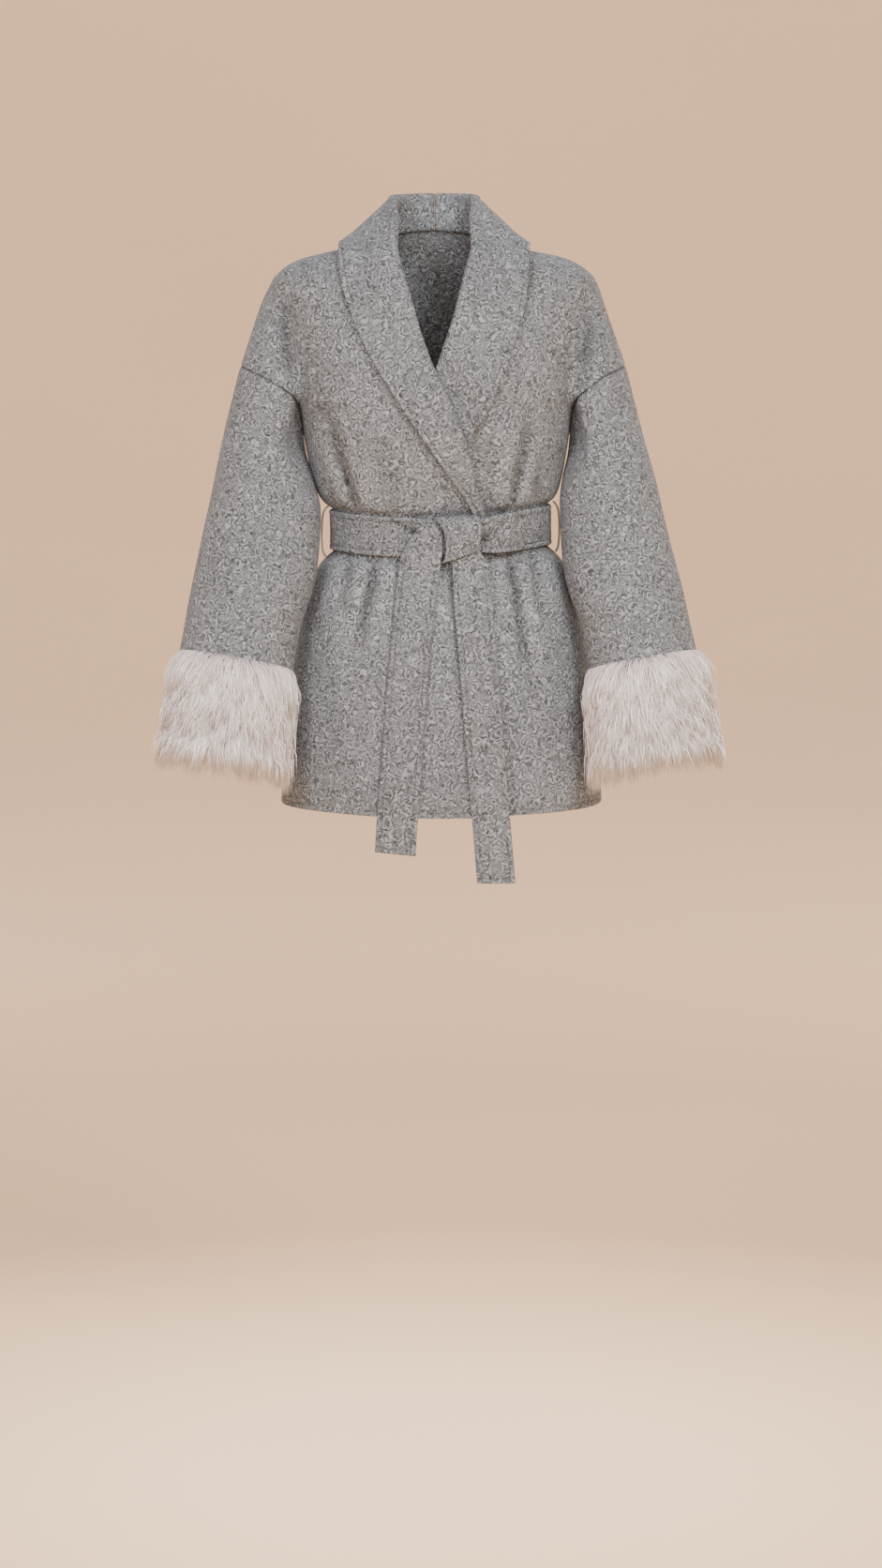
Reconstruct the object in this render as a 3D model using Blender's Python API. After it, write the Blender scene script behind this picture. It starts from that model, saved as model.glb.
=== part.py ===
"""Wrap coat with a shawl collar, dropped sleeves, fur cuffs and a knotted belt, in its worn form.

Metres, +Z up. The front faces -Y and the wearer's left is +X. The origin lies between the two
points where the shoulder seams meet the neck, which is where the wearer's shoulders hold the coat.
"""
import math

import bpy
import numpy as np

for old in list(bpy.data.objects):
    bpy.data.objects.remove(old, do_unlink=True)
coat = bpy.data.collections.new("wrap_coat")
bpy.context.scene.collection.children.link(coat)

# ---------------------------------------------------------------- cloth and gaps
WOOL = 0.0028            # felted wool, one layer
COLLAR_WOOL = 0.0042     # two layers sewn together, as in the collar
BELT_WOOL = 0.0042       # two layers and their turnings, as in the belt
SEAM_GAP = 0.0003        # between two pieces that are sewn edge to edge
LAYER_GAP = 0.0006       # between two layers that lie on each other
FALL_GAP = 0.0022        # between the collar's fall and the cloth it lies on
CREASE_GAP = 0.0010      # between sleeve and panel in the deep crease of the underarm
SQUARENESS = 2.25        # exponent of the torso's level sections, 2 is an ellipse

# ---------------------------------------------------------------- main heights
UNDERARM = -0.235        # lowest point of the armhole seam
SHOULDER_POINT = -0.150  # highest point of the armhole seam, on the upper arm
SLEEVE_HEAD = -0.0484    # below this height the shoulder's outline is the arm's
HEM_SIDE = -0.6805
HEM_DROP = 0.0040        # the hem is lower at centre front and centre back
WAIST = -0.345           # middle of the belt
BELT_WIDTH = 0.048
BELT_TILT = 0.025        # rise of the belt towards the wearer's left, per metre
BELT_SAG = 0.0065        # drop of the belt at the centre front
BELT_BEND = 0.12         # past this distance from the centre the belt runs level
BELT_LIFT = 0.0010       # between the belt and the cloth it lies on
BELT_BUMP = 0.0074       # the belt stands this much further off where the collar's ends lie beneath
PINCH = 0.30             # share by which the belt narrows beside the knot
KNOT_X = 0.028
LOOP_WIDTH = 0.012
LOOP_WOOL = 0.0022
TUCK = 0.0065            # depth of the left front beneath the right one, where no collar lies between
ROLL_REACH = 0.018       # how far from its roll the collar's fall comes to lie on the front
FALL_BULGE = 0.0020      # how far the fall rounds out between the roll and the shoulder
TAIL_CAMBER = 0.0012     # height of a belt end's middle over its edges
BRIDGE = 0.012           # height over which the belt ends and the knot even out the form beneath
SEAM_TILT = 0.20         # upward lean of the armhole seam's normals
KNOT_SINK = 0.0035       # how far the pulled knot presses into the belt beneath it
KNOT_ROUND = 0.0035      # how much lower the two sides of the knot's wrap are than its middle
KNOT_REACH = 0.024       # how far from the knot the belt is drawn narrow

# ---------------------------------------------------------------- where one form turns into the next
BLEND = 8                # exponent that joins the arm's section to the torso's, higher is crisper
DRAPE = (-0.207, -0.186)         # heights over which the panels start to drape over the arm
ARM_START = (0.10, 0.19)         # distances from the centre over which the arm's own depth takes over
WAIST_HOLD = (0.050, 0.110)      # distances above and below the belt over which its slope fades out
ROWS_HOLD = (0.045, 0.115)       # the same for the rows of the cloth's grids
SEAM_SHIFT = (0.168, 0.215)      # distances over which the armhole seam follows the leaning outer line
CREASE_HEIGHTS = (-0.232, -0.165)    # below the first the armhole's wall points straight down
CREASE_OPENS = (-0.190, -0.165)      # heights over which the crease of the underarm opens up
TUCK_BELOW = (-0.350, -0.334)    # heights below which no collar lies between the two fronts
TUCK_ABOVE = (-0.100, -0.040)    # heights above which the fronts no longer lie on each other
TUCK_SIDE = (0.013, 0.052)       # distances past the right front's edge where the left one comes up
BUMP_RIGHT = (-0.040, -0.012)    # where the belt climbs the collar's ends, from the wearer's right
BUMP_LEFT = (0.070, 0.105)       # and where it comes down from them
HEM_CURVE = 0.12                 # height above the hem over which its curve fades out
HEM_HALF = 0.19                  # half the width over which the hem curves
FAN_EASE = 1.6                   # above 1 the rows lie closer together towards the shoulder seam
SLEEVE_EASE = 1.15               # above 1 the sleeve's rows lie closer together at the armhole
SLEEVE_TURN = 0.30               # share of the sleeve's length over which it leaves the armhole's form
FOLD_START = 0.016               # distance from the belt over which a fold deepens
FOLD_FADE = 0.15                 # share of a fold's length after which it starts to fade
FOLD_SPREAD = 0.9                # how much wider a fold is at its end
FOLD_LIP = 0.35                  # height of the cloth pushed up beside a fold, as a share of its depth
FOLD_LIP_WIDTH = 2.6             # and its width, as a share of the fold's
COLLAR_END = 0.004               # the collar's last whole row keeps this far above its end
SOFT_EDGE = 50                   # degrees: edges that turn less are shaded smooth

# ---------------------------------------------------------------- cells of the cloth's grids
SHOULDER_CELLS = 18      # cells across a front, and along each shoulder seam
NECK_CELLS = 4           # cells along each half of the back neck
SLEEVE_TURNS = 10        # cells of the sleeve in half a turn, and of each panel along the armhole
SLEEVE_ROWS = 13
BODY_LEVELS = (HEM_SIDE, -0.630, -0.580, -0.530, -0.480, -0.440, -0.410, -0.392, -0.380, -0.3695, -0.345,
               -0.3205, -0.312, -0.300, -0.270, UNDERARM)
BODY_ROWS = len(BODY_LEVELS)
ROLL_POINTS = 5          # points round the collar's roll
FALL_CELLS = 5           # cells of the collar from its roll to its edge
BELT_COLUMNS = 48
CUFF_COLUMNS = 28
TAIL_ROWS = 15
TAIL_COLUMNS = 5
KNOT_ROWS = 10
KNOT_COLUMNS = 6
BELT_ROWS = 4            # points across the belt
LOOP_ROWS = 11
CURVE_SAMPLES = 400      # points of the curves that the grids' points are spaced along
NECK_ROW = 4             # row of the collar table at the shoulder seam
STAND_ROW = 6            # down to this row the collar stands on the neck seam
LAID_ROW = 8             # from this row on it lies on the front


def table(columns, *rows):
    """A short table with named columns, a row for each section or fold."""
    return {name: np.array(values, float) for name, values in zip(columns.split(), zip(*rows))}


# Level sections of the body of the coat. The widths of the shoulder slope are in here as well.
TORSO = table(
    "height half_width front back",
    (-0.800, 0.1990, 0.1490, 0.1440),
    (-0.684, 0.1965, 0.1480, 0.1430),
    (-0.600, 0.1900, 0.1425, 0.1380),
    (-0.515, 0.1814, 0.1340, 0.1285),
    (-0.4715, 0.1746, 0.1275, 0.1215),
    (-0.4348, 0.1665, 0.1200, 0.1145),
    (-0.406, 0.1562, 0.1120, 0.1075),
    (-0.391, 0.1490, 0.1070, 0.1030),
    (-0.379, 0.1385, 0.1020, 0.0985),
    (-0.371, 0.1305, 0.0975, 0.0930),
    (-0.345, 0.1292, 0.0965, 0.0920),
    (-0.320, 0.1303, 0.0985, 0.0930),
    (-0.313, 0.1385, 0.1030, 0.0975),
    (-0.302, 0.1455, 0.1065, 0.1005),
    (-0.286, 0.1505, 0.1110, 0.1030),
    (-0.252, 0.1575, 0.1195, 0.1085),
    (-0.218, 0.1630, 0.1240, 0.1125),
    (-0.184, 0.1690, 0.1235, 0.1145),
    (-0.150, 0.1735, 0.1200, 0.1145),
    (-0.116, 0.1800, 0.1115, 0.1110),
    (-0.0822, 0.1900, 0.1000, 0.1040),
    (-0.065, 0.1965, 0.0925, 0.0990),
    (-0.0484, 0.1967, 0.0840, 0.0930),
    (-0.0405, 0.1910, 0.0795, 0.0895),
    (-0.0315, 0.1797, 0.0745, 0.0855),
    (-0.0225, 0.1621, 0.0695, 0.0810),
    (-0.0135, 0.1314, 0.0640, 0.0765),
    (-0.0098, 0.1100, 0.0620, 0.0745),
    (-0.0055, 0.0900, 0.0590, 0.0720),
    (-0.001, 0.0725, 0.0560, 0.0695),
    (0.009, 0.0600, 0.0500, 0.0640),
    (0.014, 0.0520, 0.0470, 0.0605),
    (0.030, 0.0380, 0.0400, 0.0480),
    (0.080, 0.0200, 0.0200, 0.0250),
)

# Level sections of the sleeve and of the part of the panels that drapes over the upper arm.
ARM = table(
    "height outer inner mid_y half_depth",
    (-0.700, 0.3450, 0.1900, -0.130, 0.0600),
    (-0.520, 0.3165, 0.1785, -0.091, 0.0610),
    (-0.492, 0.3116, 0.1745, -0.084, 0.0615),
    (-0.458, 0.3045, 0.1680, -0.075, 0.0620),
    (-0.438, 0.3005, 0.1610, -0.070, 0.0625),
    (-0.423, 0.2974, 0.1555, -0.066, 0.0625),
    (-0.389, 0.2897, 0.1480, -0.057, 0.0625),
    (-0.355, 0.2815, 0.1455, -0.049, 0.0615),
    (-0.320, 0.2739, 0.1445, -0.042, 0.0600),
    (-0.286, 0.2668, 0.1502, -0.035, 0.0590),
    (-0.252, 0.2586, 0.1588, -0.026, 0.0580),
    (-0.235, 0.2545, 0.1603, -0.019, 0.0580),
    (-0.218, 0.2505, 0.1560, -0.016, 0.0580),
    (-0.184, 0.2417, 0.1490, -0.011, 0.0575),
    (-0.150, 0.2330, 0.1430, -0.006, 0.0560),
    (-0.116, 0.2220, 0.1340, -0.003, 0.0530),
    (-0.0822, 0.2105, 0.1230, 0.0, 0.0470),
    (-0.0653, 0.2045, 0.1180, 0.0, 0.0400),
    (-0.0484, 0.1967, 0.1130, 0.0, 0.0250),
    (-0.0405, 0.1910, 0.1100, 0.0, 0.0100),
    (-0.0315, 0.1797, 0.1000, 0.0, 0.0),
)

# The whole coat leans a few millimetres to one side: shift of the torso and of the sleeves' outer line.
SWAY = table(
    "height torso sleeve",
    (-0.800, 0.0040, 0.0045),
    (-0.570, 0.0040, 0.0045),
    (-0.490, 0.0040, 0.0005),
    (-0.420, 0.0040, -0.0010),
    (-0.330, 0.0035, -0.0030),
    (-0.290, 0.0000, -0.0035),
    (-0.200, -0.0020, -0.0055),
    (-0.080, -0.0035, -0.0055),
    (-0.0484, -0.0045, -0.0045),
    (0.080, -0.0040, -0.0040),
)

# Armhole seam from the shoulder point to the underarm, as seen from the front or the back.
ARMHOLE = table(
    "x height",
    (0.2330, -0.1500),
    (0.2235, -0.1538),
    (0.2075, -0.1605),
    (0.1935, -0.1690),
    (0.1805, -0.1775),
    (0.1690, -0.1885),
    (0.1640, -0.2050),
    (0.1620, -0.2210),
    (0.1603, -0.2350),
)

# Front edge of each front, below the collar. It passes the centre to the other side.
FRONT_EDGE = table(
    "height x",
    (-0.684, -0.0720),
    (-0.600, -0.0680),
    (-0.520, -0.0645),
    (-0.420, -0.0590),
    (-0.365, -0.0560),
    (-0.330, -0.0520),
)

# Collar, a row for each section from the centre back to the belt: the roll line (x, y, height; the
# rows with no y lie on the front), the neck seam (x, height), and the outer edge of the collar that
# laps on top and of the one beneath (x, height).
ON_FRONT = math.nan
COLLAR = table(
    "roll_x roll_y roll_height seam_x seam_height top_x top_height under_x under_height",
    (0.0000, 0.0660, 0.0580, 0.0000, 0.0140, 0.0000, -0.0300, 0.0000, -0.0300),
    (0.0240, 0.0610, 0.0580, 0.0260, 0.0125, 0.0420, -0.0280, 0.0420, -0.0280),
    (0.0420, 0.0430, 0.0570, 0.0480, 0.0090, 0.0820, -0.0215, 0.0820, -0.0215),
    (0.0500, 0.0190, 0.0555, 0.0640, 0.0040, 0.1060, -0.0145, 0.1060, -0.0145),
    (0.0510, -0.0010, 0.0505, 0.0725, -0.0010, 0.1120, -0.0102, 0.1120, -0.0102),
    (0.0490, -0.0240, 0.0370, 0.0710, -0.0050, 0.1128, -0.0135, 0.1128, -0.0135),
    (0.0475, -0.0435, 0.0180, 0.0660, -0.0120, 0.1125, -0.0200, 0.1130, -0.0200),
    (0.0450, -0.0580, -0.0030, 0.0580, -0.0245, 0.1115, -0.0310, 0.1120, -0.0310),
    (0.0405, ON_FRONT, -0.0223, 0.0500, -0.0400, 0.1098, -0.0460, 0.1110, -0.0470),
    (0.0345, ON_FRONT, -0.0450, 0.0440, -0.0560, 0.1050, -0.0670, 0.1080, -0.0690),
    (0.0270, ON_FRONT, -0.0720, 0.0370, -0.0790, 0.0950, -0.0960, 0.1000, -0.0985),
    (0.0165, ON_FRONT, -0.1070, 0.0265, -0.1110, 0.0800, -0.1295, 0.0890, -0.1320),
    (0.0035, ON_FRONT, -0.1420, 0.0140, -0.1460, 0.0590, -0.1660, 0.0740, -0.1680),
    (-0.0135, ON_FRONT, -0.1800, -0.0030, -0.1840, 0.0370, -0.2010, 0.0600, -0.2030),
    (-0.0275, ON_FRONT, -0.2150, -0.0170, -0.2190, 0.0150, -0.2340, 0.0400, -0.2360),
    (-0.0385, ON_FRONT, -0.2550, -0.0285, -0.2580, -0.0080, -0.2690, 0.0120, -0.2710),
    (-0.0465, ON_FRONT, -0.2930, -0.0385, -0.2945, -0.0280, -0.3000, -0.0180, -0.3010),
    (-0.0550, ON_FRONT, -0.3290, -0.0470, -0.3290, -0.0420, -0.3300, -0.0420, -0.3300),
)
COLLAR_RISE = table(         # how far apart the collar's two folded layers stand at the roll line
    "height spacing",
    (-0.330, 0.0064),
    (-0.290, 0.0068),
    (-0.200, 0.0076),
    (-0.100, 0.0084),
    (0.0, 0.0092),
    (0.060, 0.0092),
)

# Folds that run from the belt, on the front (-1) and on the back (1), up (1) or down (-1).
FOLDS = table(
    "face way x lean depth width length",
    (-1, -1, -0.1080, -0.12, 0.0040, 0.010, 0.060),
    (-1, -1, -0.0760, -0.22, 0.0075, 0.011, 0.100),
    (-1, -1, 0.0170, 0.11, 0.0050, 0.012, 0.300),
    (-1, -1, 0.0850, 0.20, 0.0080, 0.011, 0.140),
    (-1, -1, 0.1150, 0.18, 0.0040, 0.010, 0.080),
    (-1, 1, -0.1000, -0.32, 0.0070, 0.012, 0.110),
    (-1, 1, -0.0540, -0.05, 0.0025, 0.012, 0.080),
    (-1, 1, 0.0900, 0.20, 0.0060, 0.012, 0.110),
    (-1, 1, 0.1240, 0.05, 0.0030, 0.010, 0.060),
    (1, -1, -0.1020, -0.18, 0.0055, 0.012, 0.120),
    (1, -1, -0.0560, -0.08, 0.0085, 0.013, 0.200),
    (1, -1, -0.0080, 0.03, 0.0060, 0.012, 0.140),
    (1, -1, 0.0430, 0.10, 0.0090, 0.013, 0.220),
    (1, -1, 0.0950, 0.17, 0.0055, 0.012, 0.110),
    (1, 1, -0.0900, -0.25, 0.0060, 0.012, 0.100),
    (1, 1, -0.0300, -0.06, 0.0045, 0.013, 0.130),
    (1, 1, 0.0200, 0.05, 0.0060, 0.012, 0.100),
    (1, 1, 0.0780, 0.22, 0.0065, 0.012, 0.120),
)

# Fur cuff along its own axis: the envelope that the hair reaches, and the hollow for the hand.
CUFF = table(
    "along half_width half_depth hollow",
    (0.0000, 0.0715, 0.0650, 0.0560),
    (0.0070, 0.0785, 0.0720, 0.0550),
    (0.0300, 0.0830, 0.0765, 0.0530),
    (0.0700, 0.0850, 0.0785, 0.0520),
    (0.1100, 0.0845, 0.0780, 0.0520),
    (0.1340, 0.0800, 0.0735, 0.0535),
    (0.1450, 0.0690, 0.0630, 0.0570),
)
CUFF_TOP = -0.5070                          # height of the middle of the seam between sleeve and cuff
CUFF_AXIS = (0.1250, -0.1700, -0.9780)      # the way the forearm points
CUFF_TILT = (0.1700, -0.1650)               # rise of the seam's plane along X and along Y

# Belt ends: the two edges of the ribbon, and how far it stands off the front.
TAIL_RIGHT = table(
    "left_x left_height right_x right_height lift",
    (-0.0010, -0.3350, 0.0060, -0.3450, 0.0126),
    (-0.0180, -0.3345, 0.0070, -0.3520, 0.0128),
    (-0.0290, -0.3470, 0.0065, -0.3610, 0.0142),
    (-0.0370, -0.3590, 0.0055, -0.3710, 0.0142),
    (-0.0440, -0.3720, 0.0040, -0.3830, 0.0122),
    (-0.0480, -0.4000, 0.0005, -0.4080, 0.0060),
    (-0.0530, -0.4450, -0.0050, -0.4490, 0.0032),
    (-0.0600, -0.5200, -0.0115, -0.5220, 0.0030),
    (-0.0680, -0.6200, -0.0190, -0.6230, 0.0030),
    (-0.0735, -0.6900, -0.0240, -0.6930, 0.0030),
    (-0.0757, -0.7250, -0.0262, -0.7290, 0.0030),
)
TAIL_LEFT = table(
    "left_x left_height right_x right_height lift",
    (0.0170, -0.3660, 0.0460, -0.3600, 0.0130),
    (0.0165, -0.3780, 0.0545, -0.3720, 0.0136),
    (0.0175, -0.3930, 0.0620, -0.3880, 0.0095),
    (0.0190, -0.4250, 0.0655, -0.4220, 0.0045),
    (0.0240, -0.4800, 0.0705, -0.4790, 0.0032),
    (0.0305, -0.5600, 0.0770, -0.5600, 0.0030),
    (0.0380, -0.6500, 0.0840, -0.6500, 0.0030),
    (0.0430, -0.7100, 0.0890, -0.7100, 0.0030),
    (0.0470, -0.7620, 0.0935, -0.7630, 0.0030),
)

# The wrap of the knot from its upper edge to its lower one: its two sides, and how far its cloth
# stands off the belt.
KNOT = table(
    "left_x left_height right_x right_height stand",
    (-0.0040, -0.3285, 0.0430, -0.3255, 0.0024),
    (-0.0045, -0.3290, 0.0470, -0.3265, 0.0095),
    (0.0010, -0.3335, 0.0505, -0.3310, 0.0150),
    (0.0062, -0.3410, 0.0525, -0.3390, 0.0185),
    (0.0090, -0.3510, 0.0525, -0.3470, 0.0200),
    (0.0100, -0.3625, 0.0505, -0.3550, 0.0190),
    (0.0085, -0.3740, 0.0485, -0.3625, 0.0175),
    (0.0050, -0.3815, 0.0470, -0.3680, 0.0145),
)

# Belt carrier: height over the middle of the belt, and reach from the torso's centre line.
LOOP = table(
    "height reach",
    (0.0275, 0.1365),
    (0.0250, 0.1394),
    (0.0200, 0.1422),
    (0.0080, 0.1440),
    (-0.0080, 0.1444),
    (-0.0200, 0.1440),
    (-0.0280, 0.1428),
    (-0.0335, 0.1402),
)

# Colours, as linear red, green and blue, and roughness.
WOOL_GREY = (0.270, 0.268, 0.262, 1.0)
FUR_GREY = (0.580, 0.540, 0.530, 1.0)
WOOL_ROUGH = 0.95
FUR_ROUGH = 0.90


# ---------------------------------------------------------------- curves
def smooth(stations, values, at):
    """A curve through the stations that doesn't overshoot between them."""
    if stations[0] > stations[-1]:
        stations, values = stations[::-1], values[::-1]
    step = np.diff(stations)
    rise = np.diff(values) / step
    slope = np.zeros(len(values))
    before, after = 2 * step[1:] + step[:-1], step[1:] + 2 * step[:-1]
    with np.errstate(divide="ignore", invalid="ignore"):
        mean = (before + after) / (before / rise[:-1] + after / rise[1:])
    slope[1:-1] = np.where(rise[:-1] * rise[1:] > 0, mean, 0.0)
    slope[0], slope[-1] = rise[0], rise[-1]
    at = np.clip(at, stations[0], stations[-1])
    k = np.clip(np.searchsorted(stations, at) - 1, 0, len(step) - 1)
    t = (at - stations[k]) / step[k]
    return (
        values[k] * (1 + 2 * t) * (1 - t) ** 2
        + step[k] * slope[k] * t * (1 - t) ** 2
        + values[k + 1] * t * t * (3 - 2 * t)
        + step[k] * slope[k + 1] * t * t * (t - 1)
    )


def read(source, column, height):
    return smooth(source["height"], source[column], np.asarray(height, float))


def along(source, column, share):
    """Value of a column at a share 0..1 of the way down the table's rows."""
    rows = np.linspace(0.0, 1.0, len(source[column]))
    return smooth(rows, source[column], np.asarray(share, float))


def ease(low, high, value):
    """0 below low, 1 above high, with a soft start and end."""
    t = np.clip((value - low) / (high - low), 0.0, 1.0)
    return t * t * (3 - 2 * t)


def unit(vectors):
    return vectors / np.linalg.norm(vectors, axis=-1, keepdims=True)


# ---------------------------------------------------------------- the form of the worn coat
def belt_rise(x, face):
    """Height of the belt's middle over its mean level. It sags in front."""
    across = np.clip(x / BELT_BEND, -1, 1)
    sag = BELT_SAG if face < 0 else 0.0
    return BELT_TILT * BELT_BEND * across - sag * (1 - across**2)


def at_waist(x, z, face):
    """Height at which the torso table is read, so that its narrow waist follows the belt."""
    return z - belt_rise(x, face) * (1 - ease(*WAIST_HOLD, np.abs(z - WAIST)))


def with_belt(x, z, face):
    """Height of a level row of points once it follows the belt, the reverse of at_waist."""
    return z + belt_rise(x, face) * (1 - ease(*ROWS_HOLD, np.abs(z - WAIST)))


def torso_depth(u, z, side, face):
    """Depth of the torso at a distance u from its centre line."""
    level = at_waist(side * u, z, face)
    half = read(TORSO, "half_width", level)
    depth = read(TORSO, "front" if face < 0 else "back", level)
    share = np.clip(np.abs(u) / half, 0, 1)
    return depth * (1 - share**SQUARENESS) ** (1 / SQUARENESS)


def outer_line(z, side):
    """Distance of the sleeve's outer line from the torso's centre line."""
    lean = read(SWAY, "sleeve", z) - read(SWAY, "torso", z)
    return read(ARM, "outer", z) + side * lean


def form_y(u, z, side, face):
    """Where the cloth's outer face lies, in front (face -1) or behind (face 1)."""
    u, z = np.asarray(u, float), np.asarray(z, float)
    outer, inner = outer_line(z, side), read(ARM, "inner", z)
    across = np.clip(np.abs(2 * u - outer - inner) / (outer - inner), 0, 1)
    draped = ease(*DRAPE, z)
    arm = read(ARM, "half_depth", z) * np.sqrt(1 - across**2) * draped
    torso = torso_depth(u, z, side, face)
    height = (torso**BLEND + arm**BLEND) ** (1 / BLEND)
    middle = read(ARM, "mid_y", z) * draped * ease(*ARM_START, u)
    return middle + face * height


def to_world(u, y, z, side):
    return np.stack([side * u + read(SWAY, "torso", z), y, z], axis=-1)


def overlap_depth(u, z):
    """How deep the left front lies beneath the right one."""
    collars = COLLAR_WOOL + 2 * LAYER_GAP + read(COLLAR_RISE, "spacing", z)
    full = TUCK + (collars - TUCK) * ease(*TUCK_BELOW, z) * (1 - ease(*TUCK_ABOVE, z))
    return full * (1 - ease(*TUCK_SIDE, u + front_edge(z)))


def front_edge(z):
    """Distance of a front's own edge from the centre line, negative past the centre."""
    seam = slice(NECK_ROW, None)
    heights = np.concatenate([COLLAR["seam_height"][seam], FRONT_EDGE["height"][::-1][1:]])
    edges = np.concatenate([COLLAR["seam_x"][seam], FRONT_EDGE["x"][::-1][1:]])
    return smooth(heights, edges, np.asarray(z, float))


def front_normal(u, z, side, tucked=True):
    """Depth and outward normal of a front. side -1 laps on top, and the other may be tucked under it."""
    step = 0.002

    def y(a, b):
        deep = overlap_depth(a, b) if side > 0 and tucked else 0.0
        return form_y(a, b, side, -1) + deep

    across = (y(u + step, z) - y(u - step, z)) / (2 * step)
    up = (y(u, z + step) - y(u, z - step)) / (2 * step)
    return y(u, z), unit(np.stack([side * across, -np.ones_like(across), up], axis=-1))


def front_point(u, z, side, lift):
    """A point on a front and its folds, moved out by lift."""
    u, z = np.asarray(u, float), np.asarray(z, float)
    y, normal = front_normal(u, z, side)
    point = to_world(u, y, z, side)
    return point + normal * (lift - fold_depth(point[..., 0], z, -1))[..., None]


def belly_point(x, z, lift):
    """A point in front of the coat by its x and height. It bridges the hollow above and below the belt."""
    u = read(SWAY, "torso", z) - x
    near = [form_y(u, z + step, -1, -1) for step in (-BRIDGE, 0.0, BRIDGE)]
    return np.stack([x, np.mean(near, axis=0) - lift, z], axis=-1)


def torso_distance(points, side):
    """Distance from the torso's form and the way out of it, for points near its surface."""
    step = 0.0005

    def ratio(p):
        u = side * (p[..., 0] - read(SWAY, "torso", p[..., 2]))
        depth = np.where(p[..., 1] < 0, read(TORSO, "front", p[..., 2]), read(TORSO, "back", p[..., 2]))
        half = read(TORSO, "half_width", p[..., 2])
        parts = np.abs(u / half) ** SQUARENESS + np.abs(p[..., 1] / depth) ** SQUARENESS
        return parts ** (1 / SQUARENESS)

    slope = np.stack([(ratio(points + step * way) - ratio(points - step * way)) / (2 * step)
                      for way in np.eye(3)], axis=-1)
    size = np.linalg.norm(slope, axis=-1)
    return (ratio(points) - 1) / size, slope / size[..., None]


def fold_depth(x, z, face):
    """Troughs that run from the belt, positive where the cloth goes in."""
    depth = np.zeros_like(x)
    for k in np.nonzero(FOLDS["face"] == face)[0]:
        way = FOLDS["way"][k]
        edge = WAIST + belt_rise(x, face) + way * BELT_WIDTH / 2
        run = way * (z - edge)
        share = run / FOLDS["length"][k]
        strength = ease(0.0, FOLD_START, run) * (1 - ease(FOLD_FADE, 1.0, share))
        width = FOLDS["width"][k] * (1 + FOLD_SPREAD * np.clip(share, 0, 1))
        across = (x - FOLDS["x"][k] - FOLDS["lean"][k] * np.clip(run, 0, None)) / width
        lip = FOLD_LIP * np.exp(-((across / FOLD_LIP_WIDTH) ** 2))
        depth += FOLDS["depth"][k] * strength * (np.exp(-(across**2)) - lip)
    return depth


# ---------------------------------------------------------------- grids of points
def grid_normals(points, outward):
    """Unit normals of a grid, turned to the side where outward is positive."""
    down, across = np.gradient(points, axis=0), np.gradient(points, axis=1)
    normals = unit(np.cross(down, across))
    middle = tuple(n // 2 for n in points.shape[:2])
    return normals * np.sign(np.dot(normals[middle], outward))


def mean_way(points, axis):
    """Mean direction of the two cells beside each point, however long they are."""
    steps = unit(np.diff(points, axis=axis))
    first, last = np.take(steps, [0], axis), np.take(steps, [-1], axis)
    return np.concatenate([first, steps], axis) + np.concatenate([steps, last], axis)


def pull_back(points, gap, row=None, column=None):
    """Moves one edge of a grid back along the cloth, to leave its half of the seam's gap."""
    edge = np.s_[row, :] if column is None else np.s_[:, column]
    index = row if column is None else column
    inner = 1 if index == 0 else -2
    inward = np.s_[inner, :] if column is None else np.s_[:, inner]
    points[edge] += unit(points[inward] - points[edge]) * gap


def ridge_line(side):
    """The shoulder seam, seen from the front, from the neck to the shoulder point."""
    heights = np.linspace(COLLAR["seam_height"][NECK_ROW], SHOULDER_POINT, CURVE_SAMPLES)
    line = np.where(heights < SLEEVE_HEAD, outer_line(heights, side), read(TORSO, "half_width", heights))
    length = np.concatenate([[0], np.cumsum(np.hypot(np.diff(line), np.diff(heights)))])
    where = np.linspace(0, length[-1], SHOULDER_CELLS + 1)
    x, z = np.interp(where, length, line), np.interp(where, length, heights)
    x[0] = COLLAR["seam_x"][NECK_ROW]
    return np.stack([x, z], axis=-1)


def armhole_line(side):
    """The armhole seam from the underarm to the shoulder point, seen from the front.

    Its points lie at even turns round the arm, and panels and sleeve share them.
    """
    share = np.linspace(0, 1, CURVE_SAMPLES)
    x, z = along(ARMHOLE, "x", share), along(ARMHOLE, "height", share)
    lean = outer_line(SHOULDER_POINT, side) - ARMHOLE["x"][0]
    x = x + lean * ease(*SEAM_SHIFT, x)
    outer, inner = outer_line(z, side), read(ARM, "inner", z)
    turn = np.maximum.accumulate(np.arccos(np.clip((2 * x - outer - inner) / (outer - inner), -1, 1)))
    turn = (turn - turn[0]) / (turn[-1] - turn[0])
    even = np.linspace(1, 0, SLEEVE_TURNS + 1)
    points = np.stack([np.interp(even, turn, x), np.interp(even, turn, z)], axis=-1)
    points[0] = read(TORSO, "half_width", UNDERARM), UNDERARM
    return points


def clothe(flat, side, face):
    """Turns a grid of widths and heights into points of the cloth's outer face and their normals."""
    u, z = flat[..., 0], flat[..., 1]
    hem = 1 - ease(HEM_SIDE, HEM_SIDE + HEM_CURVE, z)
    z = z - HEM_DROP * hem * np.cos(np.pi / 2 * np.clip(np.abs(u) / HEM_HALF, 0, 1)) ** 2
    z = with_belt(side * u, z, face)
    tucked = overlap_depth(u, z) if side > 0 and face < 0 else 0.0
    y = form_y(u, z, side, face) + tucked
    points = to_world(u, y, z, side)
    normals = grid_normals(points, (0, face, 0))
    points = points - normals * fold_depth(points[..., 0], z, face)[..., None]
    return points, normals


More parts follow.
